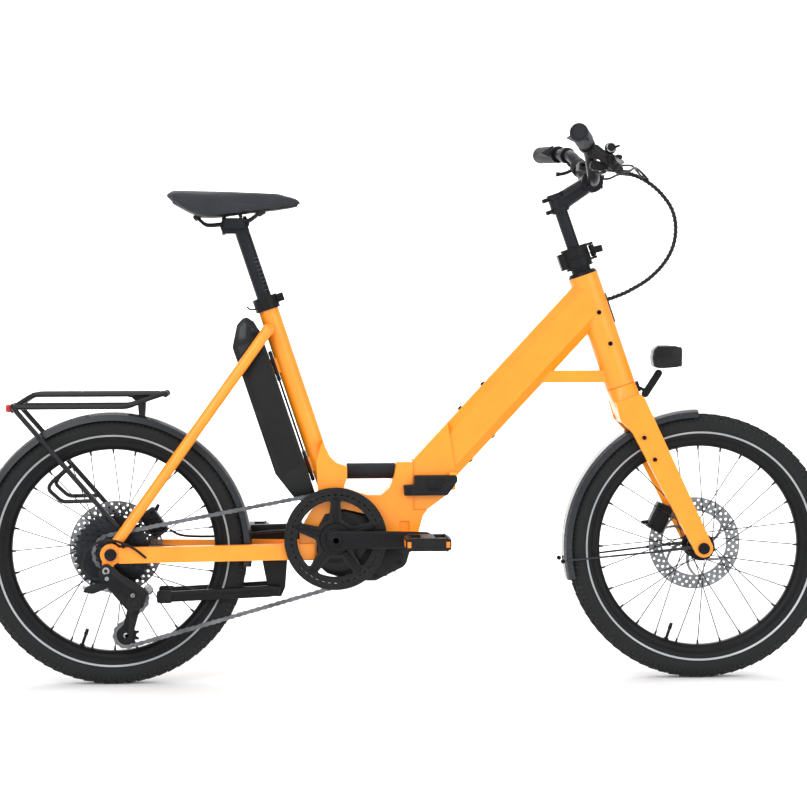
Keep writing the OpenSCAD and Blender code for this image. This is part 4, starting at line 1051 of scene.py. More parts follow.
@dataclass
class Drive:
    """Motor, cranks, chain and gears."""

    ring_teeth: int = 44
    cog_teeth: int = 17
    pulley_teeth: int = 11
    pitch: float = 12.7
    guide: Flat = (44.0, 168.0)
    tension: Flat = (26.0, 100.0)
    crank_l: float = 170.0
    bolt_r: float = 75.0
    spider: tuple[float, ...] = (18.0, 90.0, 162.0, 234.0, 306.0)

    def build(self) -> None:
        """Builds every piece of the drive."""
        self._motor()
        self._cranks()
        self._pedals()
        self._chain()
        self._derailleur()

    def _radius(self, teeth: int) -> float:
        """Pitch radius of a sprocket."""
        return self.pitch / (2 * math.sin(math.pi / teeth))

    def _motor(self) -> None:
        """Motor case with its seam, cooling ribs and screws."""
        side = [
            (389, 239), (392, 226), (408, 212), (432, 204), (483, 197), (501, 197), (554, 223), (560, 229),
            (566, 250), (574, 263), (539, 263.2), (519, 292.6), (483.5, 324.5), (440, 334.5), (405, 324.5),
            (389.4, 295),
        ]
        half = 36.5
        Shape().prism(side, -half, half, 4.5, 3, (9.0, -1.6)).build("motor_case", "rear_frame", ABS, "motor")
        cover = Shape().prism(round_outline((424, 281), 49, 48), -half - 0.6, -half + 2, 0.8)
        cover.prism(
            [(440, 210), (482, 203), (500, 203), (549, 227), (556, 247), (530, 262), (486, 262), (470, 236)],
            -half - 1.2, -half + 2, 1.4,
        )
        cover.build("motor_cover", "rear_frame", NYLON)
        ribs = Shape()
        for x, z in ((519, 207), (536, 215.5), (549, 224), (556, 232.5), (558.5, 241), (561, 249.5)):
            ribs.block((x - 10, 0, z), (27, 71, 2.6), bevel=0.9)
        ribs.build("motor_ribs", "rear_frame", ABS)
        screws = Shape()
        for x, z in ((402, 234), (450, 216), (502, 206), (546, 232), (520, 254)):
            for s in (1, -1):
                screws.screw((x, s * (half - 0.4), z), (0, s, 0), 4.2, 2.6)
        screws.build("motor_screws", "rear_frame", SCREW)

    def _cranks(self) -> None:
        """Crank arms, spindle ends and chainring screws."""
        x, z = CRANK
        arms = Shape()
        arms.prism(bar_outline(CRANK, (x + self.crank_l, z), 18.5, 14.5), -78, -92, 3.6, 3, (6.5, -1.2))
        arms.prism(bar_outline(CRANK, (x - self.crank_l, z), 18.5, 14.5), 78, 92, 3.6, 3, (6.5, -1.2))
        arms.pin((x, -78, z), (x, 78, z), 11.8)
        for s in (1, -1):
            arms.turned(
                [(0, 0), (17, 0), (19.5, 3), (19.5, 7), (12.5, 10), (12.5, 4), (0, 4)], (x, s * 64, z),
                (0, s, 0),
            )
            arms.pin((x - s * self.crank_l, s * 80, z), (x - s * self.crank_l, s * 171, z), 6.5)
        arms.build("crank_arms", "crankset", BLACK_METAL, "crankset")
        caps = Shape()
        for s in (1, -1):
            caps.screw((x, s * 91.2, z), (0, s, 0), 11.5, 3.4)
            caps.screw((x - s * self.crank_l, s * 91.4, z), (0, s, 0), 6.4, 1.6)
        caps.build("crank_bolts", "crankset", SCREW)
        ring = Shape()
        for turn in self.spider:
            foot = polar(CRANK, self.bolt_r, turn)
            ring.screw((foot[0], GUARD_FACE + 0.1, foot[1]), (0, -1, 0), 5.2, 2.0)
        ring.build("chainring_screws", "crankset", SCREW)
        self._guard()
        rim = Shape()
        for r in (76.5, 96.2):
            rim.turned(
                [(r - 1.2, 0), (r + 1.2, 0), (r + 0.8, 1.1), (r - 0.8, 1.1)], (x, GUARD_FACE, z), (0, -1, 0),
                96, True,
            )
        ribs = Shape().block(
            (x + 91.0, GUARD_FACE - 0.5, z), (7.0, 1.2, 2.0), bevel=0.3,
        ).around(20, (x, 0, z))
        ribs.build("guard_ribs", "crankset", NYLON)
        rim.build("guard_rims", "crankset", ABS)
        web = Shape()
        for turn in self.spider:
            middle = polar(CRANK, 52.0, turn)
            along = Matrix.Rotation(-math.radians(turn), 4, "Y")
            web.block((middle[0], -65.0, middle[1]), (44, 3.2, 9), along, 1.2)
        web.turned([(20, 0), (31, 0), (29, 3.5), (20, 4.5)], (x, -63.4, z), (0, -1, 0), 48, True)
        web.build("spider_ribs", "crankset", BLACK_METAL)

    def _guard(self) -> None:
        """Guard disc: five rounded windows between its spokes, and a ring of slots."""
        corners = [(73, a) for a in range(-26, 27, 4)] + [(70, 28.5), (55, 24.5), (41, 18.5)]
        corners += [(37.5, a) for a in range(14, -15, -7)] + [(41, -18.5), (55, -24.5), (70, -28.5)]
        holes = [[polar(CRANK, r, a + 54 + 72 * k) for r, a in corners] for k in range(5)]
        for k in range(44):
            turn = 360 * k / 44
            holes.append(
                [polar(CRANK, r, turn + a) for r, a in ((82.6, -2.0), (85.2, -2.0), (85.2, 2.0), (82.6, 2.0))]
            )
        holes.append(round_outline(CRANK, 14.0, 32))
        disc = Shape().pierced(round_outline(CRANK, 97.8, 120), holes, -57.8, GUARD_FACE)
        for turn in self.spider:
            foot = polar(CRANK, self.bolt_r, turn)
            disc.pin((foot[0], -58, foot[1]), (foot[0], CHAIN_Y - 1.2, foot[1]), 4.6)
        disc.build("guard_disc", "crankset", ABS, "chain_guard")

    def _pedals(self) -> None:
        """Reflectors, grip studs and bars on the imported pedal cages."""
        for side, s in (("right", -1), ("left", 1)):
            x, z = CRANK[0] - s * self.crank_l, CRANK[1]
            y = s * PEDAL_Y
            body = f"pedal_{side}"
            amber = Shape()
            for k in (1, -1):
                amber.block((x + k * 42.4, y, z), (2.4, 52, 11), bevel=0.8)
                amber.block((x + k * 36, s * 183.4, z), (7, 1.6, 11), bevel=0.5)
            amber.build(f"{body}_reflectors", body, AMBER)
            studs = Shape()
            for k in (-1, 1):
                for n in range(5):
                    a, b = x + k * 34.5, y - 34 + 17 * n
                    for up in (1, -1):
                        studs.pin((a, b, z + up * 11.5), (a, b, z + up * 13.6), 2.0, 1.4, 8)
            studs.build(f"{body}_studs", body, SCREW)
            frame_bars = Shape()
            for k in (1, -1):
                for up in (1, -1):
                    frame_bars.block((x + k * 40.5, y, z + up * 8.6), (4, 78, 2.4), bevel=0.8)
            frame_bars.pin((x, s * 96, z), (x, s * 184, z), 10.5, bevel=1.2)
            frame_bars.build(f"{body}_bars", body, NYLON)

    def _line(self) -> list[Vector]:
        """Middle line of the chain, as a closed loop in X and Z."""
        ring, cog, small = (self._radius(t) for t in (self.ring_teeth, self.cog_teeth, self.pulley_teeth))
        top = tangent(REAR_AXLE, cog, 1, CRANK, ring, 1, 1)
        low = tangent(self.tension, small, 1, CRANK, ring, 1, -1)
        cage = tangent(self.tension, small, 1, self.guide, small, -1, 1)
        up = tangent(self.guide, small, 1, REAR_AXLE, cog, -1, -1)
        line: list[Flat] = []
        for centre, a, b, turn, steps in (
            (REAR_AXLE, up[1], top[0], -1, 40), (CRANK, top[1], low[1], -1, 90),
            (self.tension, low[0], cage[0], -1, 24), (self.guide, cage[1], up[0], 1, 24),
        ):
            first, last = bearing(centre, a), bearing(centre, b)
            sweep = -((first - last) % math.tau) if turn < 0 else (last - first) % math.tau
            r = math.dist(centre, a)
            line += [
                (
                    centre[0] + r * math.cos(first + sweep * k / steps),
                    centre[1] + r * math.sin(first + sweep * k / steps),
                )
                for k in range(steps + 1)
            ]
        return [Vector(p) for p in line]

    def _chain(self) -> None:
        """Links: paired plates and a roller for each, all the way round."""
        line = self._line()
        line.append(line[0])
        ends = [0.0]
        for a, b in zip(line, line[1:]):
            ends.append(ends[-1] + (b - a).length)
        count = round(ends[-1] / self.pitch / 2) * 2
        step = ends[-1] / count
        spots, at = [], 0
        for i in range(count):
            while ends[at + 1] < i * step:
                at += 1
            share = (i * step - ends[at]) / max(1e-6, ends[at + 1] - ends[at])
            spots.append(line[at].lerp(line[at + 1], share))
        groups = {"run": Shape(), "cage": Shape(), "low": Shape()}
        for i, a in enumerate(spots):
            b = spots[(i + 1) % count]
            mid = (a + b) / 2
            if mid.x < 75 and mid.y < 196:
                shape = groups["cage"]
            elif mid.y < 175 and mid.x < 300:
                shape = groups["low"]
            else:
                shape = groups["run"]
            outer = i % 2
            gap, wide = (3.0, 4.3) if outer else (1.9, 4.0)
            outline = self._plate(a, b, wide)
            for s in (1, -1):
                shape.prism(outline, CHAIN_Y + s * gap, CHAIN_Y + s * (gap + 0.9))
            shape.pin((a.x, CHAIN_Y - 4.4, a.y), (a.x, CHAIN_Y + 4.4, a.y), 1.7, sides=8)
            shape.pin((a.x, CHAIN_Y - 1.8, a.y), (a.x, CHAIN_Y + 1.8, a.y), 3.3, sides=8)
        run = groups["run"].build("chain_upper", "rear_frame", CHAIN_STEEL, "chain", merge=0.0005)
        cage = groups["cage"].build("chain_in_cage", "", CHAIN_STEEL, merge=0.0005)
        low = groups["low"].build("chain_lower_run", "", CHAIN_STEEL, merge=0.0005)
        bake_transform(cage)
        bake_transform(low)

    def _plate(self, a: Vector, b: Vector, half: float) -> list[Flat]:
        """Waisted outline of a link's plate."""
        u = (b - a).normalized()
        w = Vector((-u.y, u.x))
        waist = half * 0.72
        points = [
            a - u * half * 0.9 - w * half * 0.45, a - w * half, (a + b) / 2 - w * waist, b - w * half,
            b + u * half * 0.9 - w * half * 0.45,
        ]
        points += [
            b + u * half * 0.9 + w * half * 0.45, b + w * half, (a + b) / 2 + w * waist, a + w * half,
            a - u * half * 0.9 + w * half * 0.45,
        ]
        return [tuple(p) for p in points]

    def _derailleur(self) -> None:
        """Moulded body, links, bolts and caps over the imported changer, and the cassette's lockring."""
        body = Shape()
        outer = [
            (-22, 226), (-10, 238), (6, 236), (20, 222), (62, 196), (68, 182), (60, 158), (40, 150),
            (30, 156), (34, 176), (4, 196), (-18, 208),
        ]
        body.prism(outer, -99.5, -97.2, 1.6, 2, (3.0, -0.8))
        body.prism([(-46, 198), (-34, 202), (-8, 208), (-6, 194), (-34, 184), (-52, 188)], -97, -86, 2.5)
        body.prism([(26, 206), (60, 196), (72, 182), (58, 172), (30, 186)], -101.5, -86, 3.2)
        body.build("changer_body", "rear_frame", NYLON)
        link = Shape().prism(bar_outline((-6, 214), (42, 182), 9, 8), -103.4, -100.2, 1.2)
        link.prism(bar_outline((4, 198), (44, 166), 6.5, 6.5), -96, -90, 1.5)
        link.build("changer_links", "rear_frame", BLACK_METAL)
        bolts = Shape().screw((-8, -96.5, 228), (0, -1, 0), 7.5, 4.0).screw(
            (-6, -103, 214), (0, -1, 0), 4, 2,
        ).screw((42, -103, 182), (0, -1, 0), 4, 2)
        bolts.pin((70, -79, 192), (70, -92, 192), 8.5, bevel=1.2).pin(
            (-44, -90, 194), (-52, -90, 196), 3.4, sides=12,
        )
        bolts.build("changer_bolts", "rear_frame", BRIGHT)
        cover = Shape().turned(
            [(0, 0), (15.5, 0), (16, 1.5), (15, 4), (9, 5), (8, 3.4), (0, 3.4)], (44, -97.6, 168), (0, -1, 0),
            36,
        )
        cover.build("changer_knuckle_cap", "rear_frame", NYLON)
        cage = Shape()
        for x, z in (self.guide, self.tension):
            cage.screw((x, -58.6, z), (0, -1, 0), 5.4, 1.6)
        cage.build("cage_bolts", "derailleur_cage", BRIGHT)
        plate = Shape().prism(
            [(33, 160), (30, 108), (20, 88), (33, 88), (40, 104), (55, 160)], -60.2, -58.9, 0.3,
        )
        plate.build("cage_cover", "derailleur_cage", NYLON)
        lock = Shape().turned(
            [(9, 0), (16.5, 0), (17, 1), (15.5, 2.6), (10, 2.8)], (0, -66.5, AXLE_Z), (0, -1, 0), 36, True,
        )
        lock.build("cassette_lockring", "cassette", SPROCKET)


@dataclass
class Frame:
    """Screws, plates, latch, handle and weld beads on the painted frame."""

    beam_lean: float = 47.0

    def build(self) -> None:
        """Builds the fittings."""
        self._screws()
        self._latch()
        self._handle()
        self._welds()

    def _screws(self) -> None:
        """Frame screws, axle caps and the cable port."""
        across = Vector((-math.sin(math.radians(self.beam_lean)), 0, math.cos(math.radians(self.beam_lean))))
        beam = Shape()
        along = Vector((across.z, 0, -across.x))
        for run, s in ((203, 1), (139, 1), (143, -1), (79, -1)):
            foot = BEAM_MID + along * run + across * (BEAM_HALF * s)
            beam.screw(tuple(foot), tuple(across * s), 4.6, 3.2)
        for x, z in ((932, 710), (954, 650)):
            beam.screw((x, -28.4, z), (0, -1, 0), 4.4, 2.6)
        beam.build("frame_screws", "front_frame", SCREW)
        port = Shape().block((27.6, 0, 150), (6.0, 17, 60), bevel=2.5, segments=3).moved(STEER)
        port.build("cable_port", "front_frame", NYLON)
        fork = Shape()
        for x, z in ((1015.5, 470), (1036, 428)):
            fork.screw((x, -57, z), (0, -1, 0), 4.2, 2.8)
        fork.build("fork_screws", "fork", SCREW)
        caps = Shape().screw((0, -88.0, AXLE_Z), (0, -1, 0), 11.5, 2.4)
        caps.screw((24, -90.4, 274), (0, -1, 0), 4.4, 2.4)
        caps.build("rear_axle_cap", "rear_frame", SCREW)
        front = Shape().screw((WHEELBASE, -66.4, AXLE_Z), (0, -1, 0), 10.5, 2.4)
        front.build("front_axle_cap", "fork", SCREW)

    def _latch(self) -> None:
        """Fold latch: a thick lever with a release button."""
        y = -38.4
        side = [
            (575, 400), (653, 400), (657.5, 397), (657.5, 388), (638, 361.4), (556, 361.4), (554, 381.5),
            (575, 382.5),
        ]
        latch = Shape().prism(side, y, y - 13.6, 2.2, 3, (4.5, -0.9))
        latch.build("latch_lever", "frame_latch", NYLON, "frame_latch")
        button = Shape().prism(
            [(600, 392), (630, 392), (633, 388), (622, 371), (600, 371)], y - 12.6, y - 14.4, 0.8,
        )
        button.build("latch_button", "frame_latch", BLACK_METAL)
        hook = Shape().pin((566, y - 13.8, 371), (566, y - 12.4, 371), 4.6, bevel=0.4)
        hook.build("latch_rivet", "frame_latch", SCREW)

    def _handle(self) -> None:
        """Ribbed sleeve on the carry handle."""
        start, end = 446.5, 540.5
        profile: list[Flat] = [(11.2, 0), (15.2, 0.6), (15.6, 3.0)]
        x = 3.4
        while x < end - start - 6:
            profile += [(14.9, x), (15.5, x + 0.6), (15.5, x + 1.9), (14.9, x + 2.5)]
            x += 3.0
        profile += [(15.6, end - start - 3), (15.2, end - start - 0.6), (11.2, end - start)]
        Shape().turned(profile, (start, 0, 406), (1, 0, 0), 36, True).build(
            "handle_sleeve", "rear_frame", GRIP, "handle_grip",
        )

    def _welds(self) -> None:
        """Fillet beads where tubes meet."""
        beads = Shape()
        for s in (1, -1):
            spot = Vector((297, s * 28, 678))
            beads.turned(
                [(9.4, -1.6), (11.8, -0.6), (11.8, 0.8), (9.4, 1.8)], tuple(spot), (0.04, s, 0.02), 24, True,
            )
        beads.build("weld_beads", "rear_frame", PAINT)


@dataclass
class Cockpit:
    """Handlebar, controls and cables."""

    grip_start: Point = (881.0, 194.7, 1026.7)
    grip_end: Point = (857.0, 308.5, 1032.5)

    def build(self) -> None:
        """Builds the pieces at the bar."""
        self._bar()
        self._grips()
        self._levers()
        self._display()
        self._stem()
        self._cables()

    def _bar(self) -> None:
        """Smooth riser bar."""
        half = [
            (920, 0, 960.5), (920, 36, 960.8), (917, 60, 968), (910, 84, 988), (905, 102, 1005),
            (898, 124, 1018), (890, 155, 1022.6), (882, 190, 1026.5), (857, 308, 1032.3),
        ]
        right = [(x, -y, z) for x, y, z in half[:0:-1]]
        Shape().sweep(curve([*right, *half], 5), 11.2, 24).build("riser_bar", "handlebar", GRAPHITE)

    def _grips(self) -> None:
        """Clamp rings at the grips; the ribbed grip with its palm rest is shaped but never built."""
        grips, rings = Shape(), Shape()
        along = Vector(self.grip_end) - Vector(self.grip_start)
        length = along.length
        profile: list[Flat] = [(11.6, 0), (16.2, 0.5)]
        h = 3.0
        while h < length - 12:
            profile += [(14.8, h), (15.9, h + 0.9), (15.9, h + 2.7), (14.8, h + 3.6)]
            h += 4.4
        profile += [(16.4, length - 9), (17, length - 6), (16.4, length - 1), (13, length), (0, length)]
        grips.turned(profile, self.grip_start, tuple(along), 36)
        point = along.normalized()
        flare = (
            (0.46, 14.2), (0.5, 16.4), (0.62, 18.6), (0.76, 21.6), (0.88, 24.2), (0.95, 24.6), (0.985, 22.4),
            (1.0, 17.5), (1.004, 9.0),
        )
        path = [Vector(self.grip_start) + point * length * t + Vector((0, 0, -6.5 * t**2)) for t, _ in flare]
        grips.sweep(path, [r for _, r in flare], 32, 0.84)
        rings.turned(
            [(11.4, -1), (16.8, -1), (17.2, 0), (17.2, 5), (16.4, 6), (11.4, 6)], self.grip_start,
            tuple(along), 36, True,
        )
        rings.mirrored().build("grip_rings", "handlebar", BLACK_METAL)

    def _levers(self) -> None:
        """Curved brake blades, reservoirs, the shifter, the bell and the remote."""
        for side, s in (("left", 1), ("right", -1)):
            path = [
                (944, s * 164, 993), (950, s * 176, 989), (951, s * 192, 987), (944, s * 215, 988),
                (937, s * 240, 990), (934, s * 262, 992), (937, s * 269, 991),
            ]
            blade = Shape().sweep(curve(path, 5), [6.2] * 8 + [5.4] * 23, 16, 0.78)
            blade.pin((940.2, s * 164.3, 988), (947.8, s * 164.3, 998), 6.2, bevel=0.8)
            blade.build(f"brake_blade_{side}", f"brake_lever_{side}", BLACK_METAL, f"brake_lever_{side}")
        tank = Shape()
        tank.sweep(
            curve([(893, 150, 1022), (912, 146, 1009), (930, 141, 995), (948, 137, 981), (958, 135, 973)], 4),
            [8.4, 8.8, 9.2] + [9.6] * 9 + [9.4, 9.2, 9.0, 8.6, 7.6], 24,
        )
        tank.block((921, 143, 1010), (34, 18, 8), Matrix.Rotation(math.radians(38), 4, "Y"), 2.6)
        tank.turned(
            [(10.2, -3), (11.2, -2), (11.2, 2), (10.2, 3)], (949, 137, 980.4), (0.77, -0.15, -0.62), 32, True,
        )
        tank.mirrored().build("brake_reservoirs", "handlebar", ABS)
        shifter = Shape().block(
            (917, -119, 984.5), (30, 26, 17), Matrix.Rotation(math.radians(10), 4, "Y"), 5, 3,
        )
        shifter.pin((928, -124, 986), (942, -124, 984), 4, 3.2)
        shifter.build("shifter_case", "handlebar", NYLON)
        paddle = Shape().sweep(
            curve([(918, -119, 971), (920, -130, 970), (924, -142, 971), (926, -149, 973)], 4),
            [6, 6, 6, 5.6, 5.4, 5.2, 5, 5, 5, 5, 4.6, 4.2, 3.4], 16, 0.5,
        )
        paddle.build("shift_paddle", "shift_lever", NYLON, "shift_lever")
        bell = Shape().turned(
            [(0, 9), (5, 8.6), (9, 6.4), (11, 2.6), (11.2, 0), (0, 0)], (936, -150, 1015), (0.1, -1, 0.2), 32,
        )
        bell.pin((936, -146, 1015), (926, -140, 1006), 3.6).pin(
            (944, -156, 1017), (953, -158, 1020), 2.6, 2.0,
        )
        bell.build("bell_dome", "handlebar", BLACK_METAL)
        ring = Shape().turned(
            [(7.6, 8.2), (9.4, 7.0), (9.0, 6.2), (7.4, 7.4)], (936, -150, 1015), (0.1, -1, 0.2), 32, True,
        )
        ring.build("bell_ring", "handlebar", BRIGHT)
        remote = Shape().sweep(
            curve([(908, 96, 1000), (896, 98, 990), (880, 97, 983), (864, 95, 981)], 4),
            [5.5] * 5 + [4.2] * 6 + [5.4] * 2, 16, 0.8,
        )
        remote.turned(
            [(11.3, -9), (15.6, -9), (16.2, 0), (15.6, 9), (11.3, 9)], (908.5, 90, 993), (-0.25, 0.78, 0.58),
            28, True,
        )
        remote.build("remote_paddle", "handlebar", NYLON)

    def _display(self) -> None:
        """Remote screen above the stem."""
        turn = Matrix.Rotation(math.radians(12), 4, "Y")
        Shape().block((915, 0, 989.4), (42, 48, 12), turn, 4, 3).build("display_case", "handlebar", ABS)
        Shape().block((916.2, 0, 995.4), (34, 40, 1.6), turn, 0.6).build("display_screen", "handlebar", GLASS)

    def _stem(self) -> None:
        """Screws and collars of the folding stem."""
        bolts = Shape()
        clamp = Shape()
        for z in (361, 385):
            clamp.turned([(17.7, -4), (19.6, -3.2), (19.6, 3.2), (17.7, 4)], (0, 0, z), (0, 0, 1), 40, True)
            clamp.block((-22.5, 0, z), (13, 17, 8.4), bevel=2.4, segments=3)
            bolts.screw((-24, -8.6, z), (0, -1, 0), 4.2, 3).screw((-24, 8.6, z), (0, 1, 0), 4.2, 3)
        clamp.sweep(
            [Vector((2, 0, 372.5)), Vector((34, 0, 380.4)), Vector((70, 0, 389.3))], [18.2, 17.2, 15.8], 32,
        )
        clamp.moved(STEER).build("stem_collar", "handlebar", GRAPHITE)
        bolts.moved(STEER).build("stem_pinch_bolts", "handlebar", SCREW)
        face = Shape()
        for s in (1, -1):
            for up in (1, -1):
                face.screw((940.5 if up > 0 else 938, s * 15, 960.5 + up * 10), (1, 0, 0.1 * up), 3.6, 3)
        face.build("bar_clamp_screws", "handlebar", SCREW)
        collar = Shape()
        for z in (243, 262, 281):
            collar.turned(
                [(26.1, -1.4), (27.2, -0.7), (27.2, 0.7), (26.1, 1.4)], (0, 0, z), (0, 0, 1), 40, True,
            )
        collar.moved(STEER).build("stem_foot_rings", "fork", BLACK_METAL)
        lever = Shape().block(
            (42.5, -3, 264.6), (20, 11, 13.6), Matrix.Rotation(math.radians(6), 4, "Y"), 2.2, 3,
        )
        lever.pin((33, 0, 254.2), (33, 0, 276.8), 5.6, bevel=0.8)
        lever.moved(STEER).build("stem_quick_lever", "stem_lever", BLACK_METAL, "stem_lever")

    def _cables(self) -> None:
        """Wrapped loop from the bar to the head tube, and the hoses that join it."""
        route = [
            (942, 124.5, 994), (960, 90, 991), (986, 45, 984), (1018, 14, 970), (1050, 4, 946),
            (1076, 2, 912), (1085, 1, 876), (1080, 0, 838), (1062, 0, 804), (1032, 0, 774), (994, 0, 751),
            (968, 0, 740), (953.4, 0, 734.9),
        ]
        path = curve(route, 8)
        coil = self._winding(path)
        parts = (
            ("upper", 0, 24, "handlebar", "stem_mast", (942, 124.5, 994), (1010, 20, 974)),
            ("middle", 24, 48, "stem_mast", "fork", (1022, 12, 968), (1084, 1, 880)),
            ("lower", 48, 96, "fork", "front_frame", (1084, 1, 870), (975, 0, 742)),
        )
        for part, first, last, near, far, start, end in parts:
            loop = Shape().sweep(path[first : last + 1], 3.6, 12).sweep(
                coil[first * 6 : last * 6 + 1], 1.15, 5,
            )
            stands_for = ("control_cables",) if first == 0 else ()
            made = loop.build(f"cable_loop_{part}", "", PVC, *stands_for, merge=0.0001)
            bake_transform(made)
        joins = (
            (
                "brake_hose_left", 2.4,
                [(956, 135, 975), (972, 118, 974), (986, 80, 980), (1004, 40, 976), (1024, 15, 972)],
            ),
            (
                "brake_hose_right", 2.4,
                [(956, -135, 975), (976, -112, 975), (996, -60, 984), (1012, -14, 982), (1032, 6, 966)],
            ),
            (
                "shift_hose", 2.1,
                [(942, -124, 984), (966, -104, 986), (990, -62, 988), (1006, -22, 980), (1022, 6, 968)],
            ),
        )
        for name, radius, points in joins:
            line = curve(points, 6)
            hose = Shape().sweep(line, radius, 10).build(name, "handlebar", PVC)

    def _winding(self, path: list[Vector]) -> list[Vector]:
        """Spiral wrap round a path, six points to each of its steps."""
        pitch, reach = 9.0, 3.9
        coil = []
        length = 0.0
        side = Vector((0, 1, 0))
        for a, b in zip(path, path[1:]):
            along = (b - a).normalized()
            side = (side - along * side.dot(along)).normalized()
            other = along.cross(side)
            for k in range(6):
                turn = length / pitch * math.tau
                coil.append(a.lerp(b, k / 6) + (side * math.cos(turn) + other * math.sin(turn)) * reach)
                length += (b - a).length / 6
        return [*coil, path[-1] + side * reach]


@dataclass
class Running:
    """Lamps, brakes, stand and carrier fittings."""

    def build(self) -> None:
        """Builds every fitting."""
        self._headlamp()
        self._calipers()
        self._stand()
        self._carrier()
        self._seat()
        self._hoses()

    def _hoses(self) -> None:
        """Rear brake hose and the gear cable's loop."""
        hose = curve(
            [
                (354, 30, 290), (300, 40, 286), (250, 50, 280), (190, 56, 276), (130, 58, 278),
                (103.7, 56, 289.6),
            ],
            5,
        )
        made = Shape().sweep(hose, 2.5, 10).build("rear_brake_hose", "rear_frame", PVC, "rear_cables")
        gear = curve(
            [
                (66, -82, 250), (42, -90, 270), (10, -97, 284), (-20, -98, 283), (-44, -97, 264),
                (-50, -96, 238), (-40, -94, 218), (-19.2, -93, 212),
            ],
            5,
        )
        made = Shape().sweep(gear, 2.4, 10).build("gear_cable", "rear_frame", PVC)

    def _headlamp(self) -> None:
        """Lamp housing, bowl, lens and its hinge screw."""
        side = [
            (1040, 606), (1037.5, 622), (1040, 638), (1047, 644.5), (1082, 645), (1091, 642), (1095, 633),
            (1094, 611), (1088, 603.5), (1060, 601.5), (1046, 602),
        ]
        Shape().prism(side, -21, 21, 6, 4).build("lamp_housing", "headlamp", ABS, "headlamp")
        bezel = Shape().block((1091.5, 0, 623.5), (7, 40, 39), bevel=5, segments=3)
        # The bezel's colour is painted lighter as a highlight.
        bezel.build("lamp_bezel", "headlamp", ABS_GLOSS_WITH_PAINTED_HIGHLIGHT)
        bowl = Shape().turned(
            [(0, -2.4), (8, -1.8), (13, 0.6), (14.6, 1.0)], (1094.6, 0, 623.5), (1, 0, 0), 36,
        )
        bowl.build("lamp_bowl", "headlamp", MIRROR)
        lens = Shape().block((1095.4, 0, 623.5), (2.0, 33, 32), bevel=0.9)
        lens.build("lamp_lens", "headlamp", LENS)
        fins = Shape()
        for k in range(4):
            fins.block((1050 + 6.5 * k, 0, 645.2), (2.6, 30, 1.6), bevel=0.4)
        fins.build("lamp_fins", "headlamp", ABS)
        screw = Shape()
        for s in (1, -1):
            screw.screw((1052, s * 8.6, 592), (0, s, 0), 4.2, 2.4)
        screw.build("lamp_screws", "headlamp", SCREW)

    def _caliper(self, centre: Flat, y: float, lean: float) -> Shape:
        """Caliper body with its two pistons and its bolts, before it is turned to its place."""
        shape = Shape()
        for s in (1, -1):
            shape.block((0, s * 10.4, 0), (33, 13.4, 55), bevel=4, segments=3)
            shape.turned(
                [(0, 0), (11.5, 0), (12.5, 1), (12.5, 3.2), (0, 3.2)], (0, s * 16.8, 0), (0, s, 0), 32,
            )
            shape.screw((10, s * 17, 20), (0, s, 0), 3.6, 2.6).screw((10, s * 17, -20), (0, s, 0), 3.6, 2.6)
        shape.block((12.5, 0, 0), (8, 12, 54), bevel=1)
        shape.pin((16, 6, 18), (27, 6, 24), 4.2, 3.2)
        place = Matrix.Translation((centre[0], y, centre[1])) @ Matrix.Rotation(math.radians(lean), 4, "Y")
        return shape.moved(place)

    def _calipers(self) -> None:
        """Both brake calipers."""
        self._caliper((74, 304), 54, -35).build(
            "rear_caliper_body", "rear_frame", BLACK_METAL, "rear_caliper",
        )
        self._caliper((1061, 308), 42, 205).build("front_caliper_body", "fork", BLACK_METAL, "front_caliper")

    def _stand(self) -> None:
        """Legs, rubber feet, pivot bolt and spring of the kickstand."""
        legs = Shape()
        side = [
            (320, 189), (298, 190.5), (116, 181), (92, 179.5), (87, 170), (93, 160.5), (116, 161),
            (296, 168.5), (316, 171),
        ]
        for s in (1, -1):
            legs.prism(side, s * 31.5, s * 43, 3.6, 3, (5.0, -1.2))
        legs.pin((310, -43, 180), (310, 43, 180), 6.8)
        legs.build("stand_legs", "kickstand", BLACK_METAL, "kickstand")
        feet = Shape()
        for s in (1, -1):
            feet.block((98, s * 37.5, 170.4), (30, 15, 24), bevel=5, segments=3)
        feet.build("stand_feet", "kickstand", RUBBER)
        bolt = Shape()
        for s in (1, -1):
            bolt.screw((310, s * 43.2, 180), (0, s, 0), 7.0, 3.0)
        bolt.build("stand_bolts", "kickstand", SCREW)
        coil = []
        for k in range(120):
            turn = k / 10 * math.tau
            coil.append(Vector((300 - k * 0.62, 4.6 * math.cos(turn), 177 + 4.6 * math.sin(turn))))
        Shape().sweep(coil, 0.9, 6).build("stand_spring", "kickstand", BRIGHT)

    def _carrier(self) -> None:
        """Tail lamp glass and back, the carrier's end balls and screws, and the mudguard screws."""
        Shape().block((-195.2, 0, 531), (10.6, 54, 14.6), bevel=3, segments=3).build(
            "tail_lamp_glass", "rear_frame", RED_LENS, "tail_light",
        )
        Shape().block((-188.6, 0, 531), (3.6, 58, 18), bevel=1.4).build("tail_lamp_back", "rear_frame", NYLON)
        ends = Shape()
        for s in (1, -1):
            ends.ball((102, s * 28, 557), (6.4, 6.4, 6.4))
            ends.screw((12, s * 66, 306), (0, s, 0), 4.2, 2.6)
        ends.build("carrier_ends", "rear_frame", TUBE_BLACK)
        guard = Shape()
        for s in (1, -1):
            guard.screw((862, s * 31.4, 231), (0, s, 0), 4.4, 2.4)
        guard.build("mudguard_screws", "fork", SCREW)

